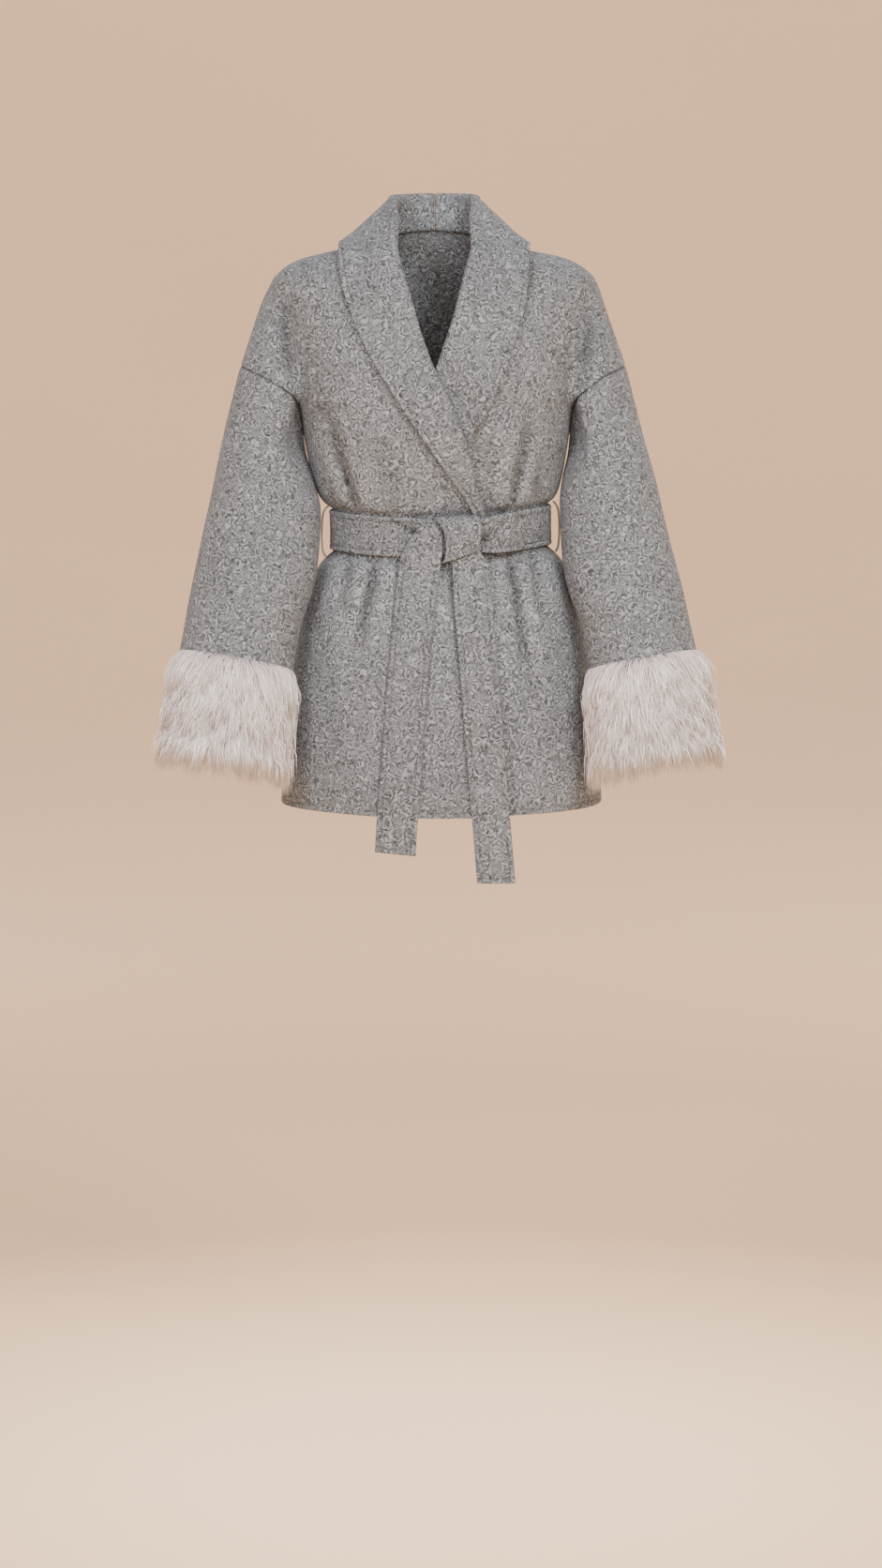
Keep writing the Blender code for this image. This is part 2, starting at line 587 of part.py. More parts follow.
def front_grid(side):
    """Right front (side -1) or left front (side 1), from its edge to the side and armhole."""
    spread = np.linspace(0, 1, SHOULDER_CELLS + 1)
    levels = np.array(BODY_LEVELS)
    edge_low = front_edge(levels)
    half = read(TORSO, "half_width", levels)
    start_angle = np.arcsin(np.clip(edge_low / half, -1, 1))
    angle = start_angle[:, None] + (np.pi / 2 - start_angle[:, None]) * spread[None, :]
    low = np.stack([half[:, None] * np.sin(angle), np.broadcast_to(levels[:, None], angle.shape)], axis=-1)
    start_z = neckline_levels()
    start = np.stack([front_edge(start_z), start_z], axis=-1)
    across = (low[-1, :, 0] - low[-1, 0, 0]) / (low[-1, -1, 0] - low[-1, 0, 0])
    high = fan(low[-1], ridge_line(side), start, armhole_line(side), across)
    points, normals = clothe(np.concatenate([low, high[1:]]), side, -1)
    settle_seams(points, normals, side, slice(None))
    normals[:, 0] = seam_normals(points[:, 0], side)
    pull_back(points, SEAM_GAP / 2, column=0)
    return points, normals


def fan_shares():
    """Where the rows above the underarm start: closer together towards the shoulder seam."""
    return 1 - (1 - np.linspace(0, 1, SLEEVE_TURNS + 1)) ** FAN_EASE


def neckline_levels():
    """Heights of the points of a front's edge from the level of the underarm to the shoulder seam."""
    return UNDERARM + (COLLAR["seam_height"][NECK_ROW] - UNDERARM) * fan_shares()


def fan(bottom, top, start, end, across):
    """Rows that turn from the level of the underarm to the slope of the shoulder."""
    s, t = across[None, :, None], fan_shares()[:, None, None]
    flat = (1 - t) * bottom[None] + t * top[None]
    at_start = (1 - t) * bottom[0] + t * top[0]
    at_end = (1 - t) * bottom[-1] + t * top[-1]
    return flat + (1 - s) * (start[:, None] - at_start) + s * (end[:, None] - at_end)


def settle_seams(points, normals, side, shoulder):
    """Turns the normals at the seams so that two pieces' walls meet squarely, and opens the gaps.

    The last column is the side seam and armhole, and the last row's shoulder columns the shoulder seam.
    """
    normals[:BODY_ROWS, -1, 1] = 0
    normals[-1, shoulder, 1] = 0
    normals[:] = unit(normals)
    normals[BODY_ROWS - 1:, -1] = armhole_normals(points[BODY_ROWS - 1:, -1], side)
    beside = normals[BODY_ROWS:, -2] + normals[BODY_ROWS:, -1]
    normals[BODY_ROWS:, -2] = unit(beside)
    pull_back(points, SEAM_GAP / 2, column=-1)
    pull_back(points, SEAM_GAP / 2, row=-1)


def armhole_normals(points, side):
    """Normals along the armhole seam, shared by panel and sleeve.

    They point out of the arm, to the front or back in the crease beside the torso, and down below.
    """
    z = points[:, 2]
    lean = read(SWAY, "torso", z)
    u = side * (points[:, 0] - lean)
    outer, inner = outer_line(z, side), read(ARM, "inner", z)
    half, depth = (outer - inner) / 2, read(ARM, "half_depth", z)
    out_x = np.maximum(u - (outer + inner) / 2, 0) / half**2
    out_y = (points[:, 1] - read(ARM, "mid_y", z)) / depth**2
    out = unit(np.stack([side * out_x, out_y, np.zeros_like(z)], axis=-1))
    down = (1 - ease(*CREASE_HEIGHTS, z))[:, None]
    tilt = np.array([0.0, 0.0, SEAM_TILT])
    normals = unit((out + tilt) * (1 - down) + np.array([0.0, 0.0, -1.0]) * down)
    run = unit(np.gradient(points, axis=0))
    run[[0, -1]] = 0.0, 1.0, 0.0
    return unit(normals - run * np.einsum("ij,ij->i", normals, run)[:, None])


def back_grid():
    """The back: two halves that meet at the centre line, joined into one grid."""
    halves = []
    for side in (-1, 1):
        levels = np.array(BODY_LEVELS)
        half = read(TORSO, "half_width", levels)
        angle = np.linspace(0, np.pi / 2, NECK_CELLS + SHOULDER_CELLS + 1)[None, :]
        width = half[:, None] * np.sin(angle)
        low = np.stack([width, np.broadcast_to(levels[:, None], width.shape)], axis=-1)
        rows = np.linspace(0, 1, NECK_ROW + 1)
        neck = np.stack([smooth(rows, COLLAR[name][:NECK_ROW + 1], np.linspace(0, 1, NECK_CELLS + 1))
                         for name in ("seam_x", "seam_height")], axis=-1)
        top = np.concatenate([neck, ridge_line(side)[1:]])
        start_z = UNDERARM + (COLLAR["seam_height"][0] - UNDERARM) * fan_shares()
        start = np.stack([np.zeros(len(start_z)), start_z], axis=-1)
        high = fan(low[-1], top, start, armhole_line(side), width[-1] / width[-1, -1])
        points, normals = clothe(np.concatenate([low, high[1:]]), side, 1)
        normals[:, 0, 0] = 0
        settle_seams(points, normals, side, slice(NECK_CELLS, None))
        normals[-1, :NECK_CELLS + 1] = seam_normals(points[-1, :NECK_CELLS + 1], side)
        halves.append((points, normals))
    right, left = halves
    return tuple(np.concatenate([r[:, :0:-1], l], axis=1) for r, l in zip(right, left))


def sleeve_grid(side):
    """A tube from the armhole seam to the cuff. Its columns run from the underarm round the front."""
    line = armhole_line(side)
    front = np.linspace(np.pi, 0, SLEEVE_TURNS + 1)
    folded = np.concatenate([front, front[-2:0:-1]])
    face = np.concatenate([-np.ones(len(front)), np.ones(len(front) - 2)])
    seam_flat = np.concatenate([line, line[-2:0:-1]])
    seam_u, seam_z = seam_flat[:, 0], seam_flat[:, 1]
    seam_y = np.where(face < 0, form_y(seam_u, seam_z, side, -1), form_y(seam_u, seam_z, side, 1))
    seam = to_world(seam_u, seam_y, seam_z, side)
    shoulder = SLEEVE_TURNS
    behind = armhole_normals(np.concatenate([seam[shoulder:], seam[:1]]), side)[1:-1]
    shared = np.concatenate([armhole_normals(seam[:shoulder + 1], side), behind])
    seam[:, 0] += side * CREASE_GAP * (1 - ease(*CREASE_OPENS, seam_z))

    share = np.linspace(0, 1, SLEEVE_ROWS)[:, None] ** SLEEVE_EASE
    half = (read(ARM, "outer", CUFF_TOP) - read(ARM, "inner", CUFF_TOP)) / 2
    low_u, low_y = half * np.cos(folded), face * read(ARM, "half_depth", CUFF_TOP) * np.sin(folded)
    low_z = CUFF_TOP + CUFF_TILT[0] * low_u + CUFF_TILT[1] * low_y
    z = seam_z[None, :] + (low_z - seam_z)[None, :] * share
    outer, inner = outer_line(z, side), read(ARM, "inner", z)
    u = (outer + inner) / 2 + (outer - inner) / 2 * np.cos(folded)
    y = read(ARM, "mid_y", z) + face * read(ARM, "half_depth", z) * np.sin(folded)
    points = to_world(u, y, z, side)
    pull = 1 - ease(0.0, SLEEVE_TURN, share)
    points = points + (seam - points[0])[None] * pull[..., None]

    ring = np.concatenate([points[:, -1:], points, points[:, :1]], axis=1)
    down, across = np.gradient(ring, axis=0)[:, 1:-1], np.gradient(ring, axis=1)[:, 1:-1]
    normals = unit(np.cross(down, across))
    normals *= np.sign(normals[SLEEVE_ROWS // 2, shoulder, 0] * side)
    normals[0] = shared
    axis = unit(np.array(CUFF_AXIS) * (side, 1, 1))
    normals[-1] = unit(normals[-1] - np.outer(normals[-1] @ axis, axis))
    pull_back(points, SEAM_GAP / 2, row=0)
    return points, normals


def seam_normals(points, side):
    """Normals along the neck seam and the front edge, shared by the panels and the collar."""
    z = points[:, 2]
    u = side * (points[:, 0] - read(SWAY, "torso", z))
    near_neck = z > COLLAR["seam_height"][LAID_ROW]
    normals = np.where(near_neck[:, None], torso_distance(points, side)[1],
                       front_normal(u, z, side, tucked=False)[1])
    normals[u == 0, 0] = 0
    return unit(normals)


def collar_rows():
    """Places along the collar's table where the panels' edges have their points."""
    last = len(COLLAR["roll_x"]) - 1
    fine = np.linspace(NECK_ROW, last, CURVE_SAMPLES)
    heights = along(COLLAR, "seam_height", fine / last)
    levels = np.concatenate([neckline_levels()[::-1], BODY_LEVELS[-2::-1]])
    levels = levels[levels > heights[-1] + COLLAR_END]
    return np.concatenate([np.arange(NECK_ROW), np.interp(-levels, -heights, fine), [last]])


def collar_grid(side):
    """Middle of the collar's cloth and its normals.

    Rows run from the centre back to the belt, and columns from the neck seam over the roll to the edge.
    """
    last = len(COLLAR["roll_x"]) - 1
    rows = collar_rows()
    share = rows / last
    behind = rows < NECK_ROW
    half_wool = COLLAR_WOOL / 2

    spacing = read(COLLAR_RISE, "spacing", COLLAR["roll_height"])
    laid = front_point(COLLAR["roll_x"], COLLAR["roll_height"], side, spacing / 2 - half_wool)
    stood = to_world(COLLAR["roll_x"], COLLAR["roll_y"], COLLAR["roll_height"], side)
    knots = np.where(np.isnan(COLLAR["roll_y"])[:, None], laid, stood)
    places = np.arange(last + 1.0)
    roll = np.stack([smooth(places, knots[:, k], rows) for k in range(3)], axis=-1)
    run = unit(np.gradient(roll, rows, axis=0))
    run[0] = side, 0, 0

    roll_u = side * (roll[:, 0] - read(SWAY, "torso", roll[:, 2]))
    facing = front_normal(roll_u, np.minimum(roll[:, 2], COLLAR["seam_height"][NECK_ROW]), side)[1]
    level = unit(side * np.stack([-run[:, 1], run[:, 0], np.zeros(len(rows))], axis=-1))
    turned = ease(NECK_ROW + 1, LAID_ROW + 1, rows)[:, None]
    out = level * (1 - turned) + facing * turned
    out = unit(out - run * np.einsum("ij,ij->i", out, run)[:, None])
    up = side * np.cross(run, out)
    radius = read(COLLAR_RISE, "spacing", roll[:, 2])[:, None] / 2
    centre = roll - up * (radius + half_wool)
    arc = np.linspace(0, np.pi, ROLL_POINTS)[None, :, None]
    around = centre[:, None] + radius[:, None] * (up[:, None] * np.sin(arc) - out[:, None] * np.cos(arc))

    seam_z = along(COLLAR, "seam_height", share)
    seam_u = np.where(behind, along(COLLAR, "seam_x", share), front_edge(seam_z))
    seam_z = np.where(behind, seam_z, with_belt(side * seam_u, seam_z, -1))
    seam_back = to_world(seam_u, form_y(seam_u, seam_z, side, 1), seam_z, side)
    seam = np.where(behind[:, None], seam_back, front_point(seam_u, seam_z, side, 0.0))
    seam_out = seam_normals(seam, side)
    seam = seam - seam_out * half_wool
    rise = np.array([0.0, 0.5])[None, :, None]
    stand = seam[:, None] * (1 - rise) + around[:, :1] * rise

    edge = "top" if side < 0 else "under"
    edge_u, edge_z = along(COLLAR, edge + "_x", share), along(COLLAR, edge + "_height", share)
    edge_back = to_world(edge_u, form_y(edge_u, edge_z, side, 1), edge_z, side)
    rim = np.where(behind[:, None], edge_back, front_point(edge_u, edge_z, side, 0.0))
    low = FALL_GAP + half_wool
    rim = rim + torso_distance(rim, side)[1] * low
    fall = np.linspace(0, 1, FALL_CELLS + 1)[1:]
    way = fall[None, :, None]
    hung = around[:, -1:] * (1 - way) + rim[:, None] * way
    hung = hung + out[:, None] * FALL_BULGE * 4 * way * (1 - way)
    for _ in range(4):
        distance, outward = torso_distance(hung, side)
        hung = hung + outward * np.maximum(low - distance, 0)[..., None]
    centre_u = side * (centre[:, 0] - read(SWAY, "torso", centre[:, 2]))
    fall_u = centre_u[:, None] + (edge_u - centre_u)[:, None] * fall
    fall_z = centre[:, 2:] + (edge_z - centre[:, 2])[:, None] * fall
    gone = np.hypot(edge_u - centre_u, edge_z - centre[:, 2])[:, None] * fall
    lift = low + (2 * radius - half_wool - low) * np.exp(-((gone / ROLL_REACH) ** 2))
    lies = front_point(fall_u, fall_z, side, lift)
    settled = ease(STAND_ROW, LAID_ROW, rows)[:, None, None]
    fallen = hung * (1 - settled) + np.where(settled > 0, lies, 0.0) * settled

    points = np.concatenate([stand, around, fallen], axis=1)
    points[0, :, 0] = read(SWAY, "torso", points[0, :, 2]) + side * SEAM_GAP / 2
    normals = unit(side * np.cross(mean_way(points, 0), mean_way(points, 1)))
    normals[0, :, 0] = 0
    normals = unit(normals)
    low_stand = ease(STAND_ROW, LAID_ROW, rows)[:, None]
    normals[:, 1] = unit(normals[:, 1] * (1 - low_stand) - (seam_out + out) / 2 * low_stand)
    normals[:, 0] = -seam_out
    pull_back(points, SEAM_GAP / 2, column=0)
    return points, normals


def belt_grid():
    """Inner face of the belt and its normals: rows across its width, columns round the waist."""
    turn = np.linspace(0, 2 * np.pi, BELT_COLUMNS, endpoint=False)[None, :]
    across = np.linspace(-1, 1, BELT_ROWS)[:, None]
    power = 2 / SQUARENESS
    shape = np.sign(np.sin(turn)) * np.abs(np.sin(turn)) ** power
    face = np.where(np.cos(turn) > 0, -1, 1)
    x = read(TORSO, "half_width", WAIST) * shape + read(SWAY, "torso", WAIST)
    rise = np.where(face < 0, belt_rise(x, -1), belt_rise(x, 1))
    in_front = face < 0
    pinch = PINCH * np.exp(-(((x - KNOT_X) / KNOT_REACH) ** 2)) * in_front
    level = WAIST + across * BELT_WIDTH / 2 * (1 - pinch)
    depth = np.where(in_front, read(TORSO, "front", level), read(TORSO, "back", level))
    u = read(TORSO, "half_width", level) * shape
    y = face * depth * np.abs(np.cos(turn)) ** power
    points = to_world(u, y, level + rise, 1)
    ring = np.concatenate([points[:, -1:], points, points[:, :1]], axis=1)
    normals = unit(np.cross(mean_way(ring, 1), mean_way(ring, 0)))[:, 1:-1]
    normals *= np.sign(normals[1, 0] @ (0, -1, 0))
    bump = BELT_BUMP * ease(*BUMP_RIGHT, x) * (1 - ease(*BUMP_LEFT, x)) * in_front
    return points + normals * (BELT_LIFT + bump)[..., None], normals


def ribbon(source, rows, columns, lift):
    """Positions x and height of a band given by its two edges, and its lift at each of them."""
    share = np.linspace(0, 1, rows)[:, None]
    side = np.linspace(0, 1, columns)[None, :]
    x, z = (along(source, f"left_{name}", share) * (1 - side) + along(source, f"right_{name}", share) * side
            for name in ("x", "height"))
    return x, z, along(source, lift, share) + 0 * side, side


def knot_grid():
    """Middle of the knot's wrap and its normals."""
    x, z, stand, side = ribbon(KNOT, KNOT_ROWS, KNOT_COLUMNS, "stand")
    rounded = KNOT_ROUND * (2 * side - 1) ** 2
    face = BELT_LIFT + BELT_BUMP + BELT_WOOL - KNOT_SINK
    points = belly_point(x, z, face + np.maximum(stand - rounded, BELT_WOOL / 2 + SEAM_GAP))
    normals = unit(np.cross(mean_way(points, 0), mean_way(points, 1)))
    return points, normals * np.sign(normals[KNOT_ROWS // 2, KNOT_COLUMNS // 2] @ (0, -1, 0))


def cuff_rings(side, width, depth):
    """Rings parallel to the sleeve's end, of the widths and depths given for each place along it."""
    turn = np.linspace(0, 2 * np.pi, CUFF_COLUMNS, endpoint=False)[None, :]
    across, forth = width[:, None] * np.cos(turn), depth[:, None] * np.sin(turn)
    z = CUFF_TOP + CUFF_TILT[0] * across + CUFF_TILT[1] * forth
    u = (outer_line(z, side) + read(ARM, "inner", z)) / 2 + across
    points = to_world(u, read(ARM, "mid_y", z) + forth, z, side)
    gone = (CUFF["along"] + LAYER_GAP)[:, None, None]
    return points + gone * unit(np.array(CUFF_AXIS) * (side, 1, 1))


def loop_grid(side):
    """Middle of a belt carrier at the side seam and its normals."""
    share = np.linspace(0, 1, LOOP_ROWS)[:, None]
    x = side * along(LOOP, "reach", share)
    z = WAIST + belt_rise(x, 1) + along(LOOP, "height", share)
    y = np.array([[-LOOP_WIDTH / 2, 0.0, LOOP_WIDTH / 2]]) + 0 * share
    points = np.stack([x + read(SWAY, "torso", WAIST) + 0 * y, y, z + 0 * y], axis=-1)
    return points, grid_normals(points, (side, 0, 0))


# ---------------------------------------------------------------- meshes
def new_material(name, colour, roughness):
    material = bpy.data.materials.new(name)
    material.use_nodes = True
    shader = material.node_tree.nodes["Principled BSDF"]
    shader.inputs["Base Color"].default_value = colour
    shader.inputs["Roughness"].default_value = roughness
    shader.inputs["Metallic"].default_value = 0.0
    return material


def wall(name, outer, inner, material, closed=False):
    """A closed cloth wall between two grids of the same shape. closed joins the last column to the first."""
    rows, columns = outer.shape[:2]
    count = rows * columns
    points = np.concatenate([outer.reshape(-1, 3), inner.reshape(-1, 3)])
    faces = []

    def at(row, column, layer):
        return layer * count + row * columns + column % columns

    def add(a, b, c, d, turned=False, like=None):
        """Two triangles, split along the shorter diagonal of the four corners, or of the corners in like."""
        p, q, r, s = (points[i] for i in (like or (a, b, c, d)))
        if np.linalg.norm(p - r) <= np.linalg.norm(q - s):
            pair = [(a, b, c), (a, c, d)]
        else:
            pair = [(b, c, d), (b, d, a)]
        faces.extend(face[::-1] if turned else face for face in pair)

    last = columns if closed else columns - 1
    for r in range(rows - 1):
        for c in range(last):
            corners = [(r, c), (r, c + 1), (r + 1, c + 1), (r + 1, c)]
            out = tuple(at(i, j, 0) for i, j in corners)
            add(*out)
            add(*(at(i, j, 1) for i, j in corners), turned=True, like=out)
    for c in range(last):
        add(at(0, c, 0), at(0, c + 1, 0), at(0, c + 1, 1), at(0, c, 1), turned=True)
        add(at(rows - 1, c, 0), at(rows - 1, c + 1, 0), at(rows - 1, c + 1, 1), at(rows - 1, c, 1))
    if not closed:
        for r in range(rows - 1):
            add(at(r, 0, 0), at(r + 1, 0, 0), at(r + 1, 0, 1), at(r, 0, 1))
            add(at(r, columns - 1, 0), at(r + 1, columns - 1, 0), at(r + 1, columns - 1, 1),
                at(r, columns - 1, 1), turned=True)
    mesh = bpy.data.meshes.new(name)
    mesh.from_pydata(points.tolist(), [], faces)
    mesh.materials.append(material)
    if enclosed_volume(points, faces) < 0:
        mesh.flip_normals()
    mesh.shade_smooth()
    mesh.set_sharp_from_angle(angle=math.radians(SOFT_EDGE))
    piece = bpy.data.objects.new(name, mesh)
    coat.objects.link(piece)
    return piece


def enclosed_volume(points, faces):
    corners = points[np.array(faces)]
    return np.einsum("ij,ij->i", corners[:, 0], np.cross(corners[:, 1], corners[:, 2])).sum() / 6


def cloth(name, points, normals, thickness, closed=False, middle=False):
    """A wool wall inward from a grid, or to both sides of it where the grid is its middle."""
    out = thickness / 2 if middle else 0.0
    wool = new_material(f"{name}_wool", WOOL_GREY, WOOL_ROUGH)
    wall(name, points + normals * out, points + normals * (out - thickness), wool, closed)


for side, name in ((-1, "front_right"), (1, "front_left")):
    cloth(name, *front_grid(side), WOOL)
cloth("back_panel", *back_grid(), WOOL)
for side, name in ((-1, "sleeve_right"), (1, "sleeve_left")):
    cloth(name, *sleeve_grid(side), WOOL, closed=True)
for side, name in ((-1, "collar_right"), (1, "collar_left")):
    cloth(name, *collar_grid(side), COLLAR_WOOL, middle=True)
for side, name in ((-1, "fur_cuff_right"), (1, "fur_cuff_left")):
    envelope = cuff_rings(side, CUFF["half_width"], CUFF["half_depth"])
    hollow = cuff_rings(side, CUFF["hollow"], CUFF["hollow"])
    wall(name, envelope, hollow, new_material(f"{name}_fur", FUR_GREY, FUR_ROUGH), closed=True)
belt, belt_out = belt_grid()
cloth("belt_band", belt + belt_out * BELT_WOOL, belt_out, BELT_WOOL, closed=True)
cloth("belt_knot", *knot_grid(), BELT_WOOL, middle=True)
for name, edges in (("belt_tail_right", TAIL_RIGHT), ("belt_tail_left", TAIL_LEFT)):
    x, z, lift, side = ribbon(edges, TAIL_ROWS, TAIL_COLUMNS, "lift")
    points = belly_point(x, z, lift + BELT_WOOL + TAIL_CAMBER * (1 - (2 * side - 1) ** 2))
    cloth(name, points, grid_normals(points, (0, -1, 0)), BELT_WOOL)
for side, name in ((-1, "belt_loop_right"), (1, "belt_loop_left")):
    cloth(name, *loop_grid(side), LOOP_WOOL, middle=True)
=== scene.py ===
import math

import bpy
import numpy as np
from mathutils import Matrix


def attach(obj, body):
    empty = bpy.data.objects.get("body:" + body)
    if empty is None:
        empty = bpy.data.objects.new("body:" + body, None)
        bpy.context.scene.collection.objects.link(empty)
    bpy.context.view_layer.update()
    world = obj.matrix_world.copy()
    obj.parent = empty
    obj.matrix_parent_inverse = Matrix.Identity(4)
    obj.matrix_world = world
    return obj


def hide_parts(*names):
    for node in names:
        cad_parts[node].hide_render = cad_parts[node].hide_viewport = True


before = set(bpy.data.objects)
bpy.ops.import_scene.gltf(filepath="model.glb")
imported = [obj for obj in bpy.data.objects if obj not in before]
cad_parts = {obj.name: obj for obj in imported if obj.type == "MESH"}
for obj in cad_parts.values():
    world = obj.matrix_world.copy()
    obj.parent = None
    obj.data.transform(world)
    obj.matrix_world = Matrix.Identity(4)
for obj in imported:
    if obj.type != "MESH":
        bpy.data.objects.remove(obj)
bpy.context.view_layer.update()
scene = bpy.context.scene
print("frame loaded")


def toLinear(hexColour):
    channels = [int(hexColour[k:k + 2], 16) / 255 for k in (1, 3, 5)]
    return tuple(c / 12.92 if c <= 0.04045 else ((c + 0.055) / 1.055) ** 2.4 for c in channels) + (1.0,)


def setInputs(tree, node, inputs):
    # a whole node stands for its first output that is in use
    for name, value in inputs.items():
        if isinstance(value, bpy.types.Node):
            value = next(output for output in value.outputs if output.enabled)
        if isinstance(value, bpy.types.NodeSocket):
            tree.links.new(value, node.inputs[name])
        else:
            node.inputs[name].default_value = value


def addNode(tree, kind, inputs=None, **settings):
    node = tree.nodes.new(kind)
    for name, value in settings.items():
        setattr(node, name, value)
    setInputs(tree, node, inputs or {})
    return node


def startMaterial(name):
    material = bpy.data.materials.new(name)
    material.use_nodes = True
    tree = material.node_tree
    return material, tree, tree.nodes["Principled BSDF"]


def unit(vectors):
    return vectors / np.linalg.norm(vectors, axis=-1, keepdims=True)


# the camera looks slightly down at the coat, which hangs at its worn height over the floor
viewpoint = {"distance": 5.3, "aside": 0.004, "height": -0.01, "downTilt": 7.0, "lens": 100.0}
cameraData = bpy.data.cameras.new("camera")
cameraData.lens = viewpoint["lens"]
cameraData.clip_end = 60.0
camera = bpy.data.objects.new("camera", cameraData)
camera.location = (viewpoint["aside"], -viewpoint["distance"], viewpoint["height"])
camera.rotation_euler = (math.radians(90 - viewpoint["downTilt"]), 0, 0)
scene.collection.objects.link(camera)
scene.camera = camera

# a pale studio floor that curves up into its wall far outside the coat
studio = {
    "floorHeight": -1.51, "flatRings": (0.4, 1.5, 3.0, 4.6), "flatRadius": 6.2, "curveRadius": 5.0, "wallTop": 5.0,
    "curveRings": 24, "turns": 96,
    "paintedPoolColour": "#fcd8b2", "outsidePoolColour": "#c3a07e", "wallColour": "#eccaa6", "cloudColour": "#bda48f",
    "paintedPoolFade": (0.3, 1.3), "wallFade": (2.5, 6.0), "cloudScale": 0.7, "cloudAmount": 0.10, "glow": 0.55,
}


def makeStudio():
    bend = np.linspace(0, np.pi / 2, studio["curveRings"])
    flat = np.array(studio["flatRings"])
    radius = np.concatenate([flat, studio["flatRadius"] + studio["curveRadius"] * np.sin(bend)])
    height = np.concatenate([0 * flat, studio["curveRadius"] * (1 - np.cos(bend))]) + studio["floorHeight"]
    radius, height = np.append(radius, radius[-1]), np.append(height, studio["wallTop"])
    turns = studio["turns"]
    angle = np.linspace(0, 2 * np.pi, turns, endpoint=False)
    ring = np.stack([np.cos(angle), np.sin(angle)], axis=-1)
    points = [(0.0, 0.0, studio["floorHeight"])]
    for r, z in zip(radius, height):
        points += [(r * x, r * y, z) for x, y in ring]
    faces = [(0, 1 + k, 1 + (k + 1) % turns) for k in range(turns)]
    for row in range(len(radius) - 1):
        low, high = 1 + row * turns, 1 + (row + 1) * turns
        faces += [(low + k, high + k, high + (k + 1) % turns, low + (k + 1) % turns) for k in range(turns)]
    mesh = bpy.data.meshes.new("studio")
    mesh.from_pydata(points, [], faces)
    mesh.shade_smooth()
    sweep = bpy.data.objects.new("studio", mesh)
    scene.collection.objects.link(sweep)
    # matt painted plaster: no gloss, a little cloudiness, a painted pool of light on the floor round the coat that
    # darkens further out, and a glow that keeps the wall even
    paint, tree, shader = startMaterial("mattPaint")
    place = addNode(tree, "ShaderNodeTexCoord").outputs["Object"]
    level = addNode(tree, "ShaderNodeVectorMath", {0: place, 1: (1.0, 1.0, 0.0)}, operation="MULTIPLY")
    reach = addNode(tree, "ShaderNodeVectorMath", {0: level}, operation="LENGTH")
    # painted light: the floor is paler round the coat, like a pool of lamp light, and darker further out
    away, beyond = (addNode(tree, "ShaderNodeMapRange", {"Value": reach, "From Min": near, "From Max": far})
                    for near, far in (studio["paintedPoolFade"], studio["wallFade"]))
    cloud = addNode(tree, "ShaderNodeTexNoise", {"Vector": place, "Scale": studio["cloudScale"], "Detail": 3.0})
    cloudy = addNode(tree, "ShaderNodeMapRange", {"Value": cloud, "From Min": 0.3, "From Max": 0.7,
                                                  "To Max": studio["cloudAmount"]})
    tone = toLinear(studio["paintedPoolColour"])
    for share, colour in ((away, "outsidePoolColour"), (beyond, "wallColour"), (cloudy, "cloudColour")):
        tone = addNode(tree, "ShaderNodeMix", {0: share, 6: tone, 7: toLinear(studio[colour])}, data_type="RGBA")
    setInputs(tree, shader, {"Base Color": tone, "Emission Color": tone, "Emission Strength": studio["glow"],
                             "Roughness": 0.9, "Specular IOR Level": 0.15})
    mesh.materials.append(paint)


makeStudio()

# soft light: two lamps from above in front, right and left, a low one in the middle, and two from behind
lamps = {
    "key": {"at": (2.2, -4.3, 2.5), "size": 1.3, "power": 310.0, "colour": "#fffdfb"},
    "fill": {"at": (-2.4, -4.2, 2.1), "size": 1.4, "power": 220.0, "colour": "#f8f9ff"},
    "front": {"at": (0.5, -6.4, 0.6), "size": 2.4, "power": 260.0, "colour": "#fffefc"},
    "backRight": {"at": (2.8, 3.2, 2.2), "size": 2.4, "power": 180.0, "colour": "#fffaf5"},
    "backLeft": {"at": (-2.8, 3.4, 2.0), "size": 2.4, "power": 150.0, "colour": "#f8f9ff"},
}
lampTarget = np.array((0.0, 0.0, -0.35))
skyLight = {"colour": "#f0f2f7", "strength": 0.30}
for name, lamp in lamps.items():
    light = bpy.data.lights.new(name, "AREA")
    light.size = lamp["size"]
    light.energy = lamp["power"]
    light.color = toLinear(lamp["colour"])[:3]
    holder = bpy.data.objects.new(name, light)
    holder.location = lamp["at"]
    aim = lampTarget - np.array(lamp["at"])
    across = math.atan2(aim[1], aim[0])
    holder.rotation_euler = (math.acos(aim[2] / -np.linalg.norm(aim)), 0, across - math.pi / 2)
    scene.collection.objects.link(holder)
world = bpy.data.worlds.new("studioSky")
world.use_nodes = True
setInputs(world.node_tree, world.node_tree.nodes["Background"],
          {"Color": toLinear(skyLight["colour"]), "Strength": skyLight["strength"]})
scene.world = world
print("camera, floor and lights made")


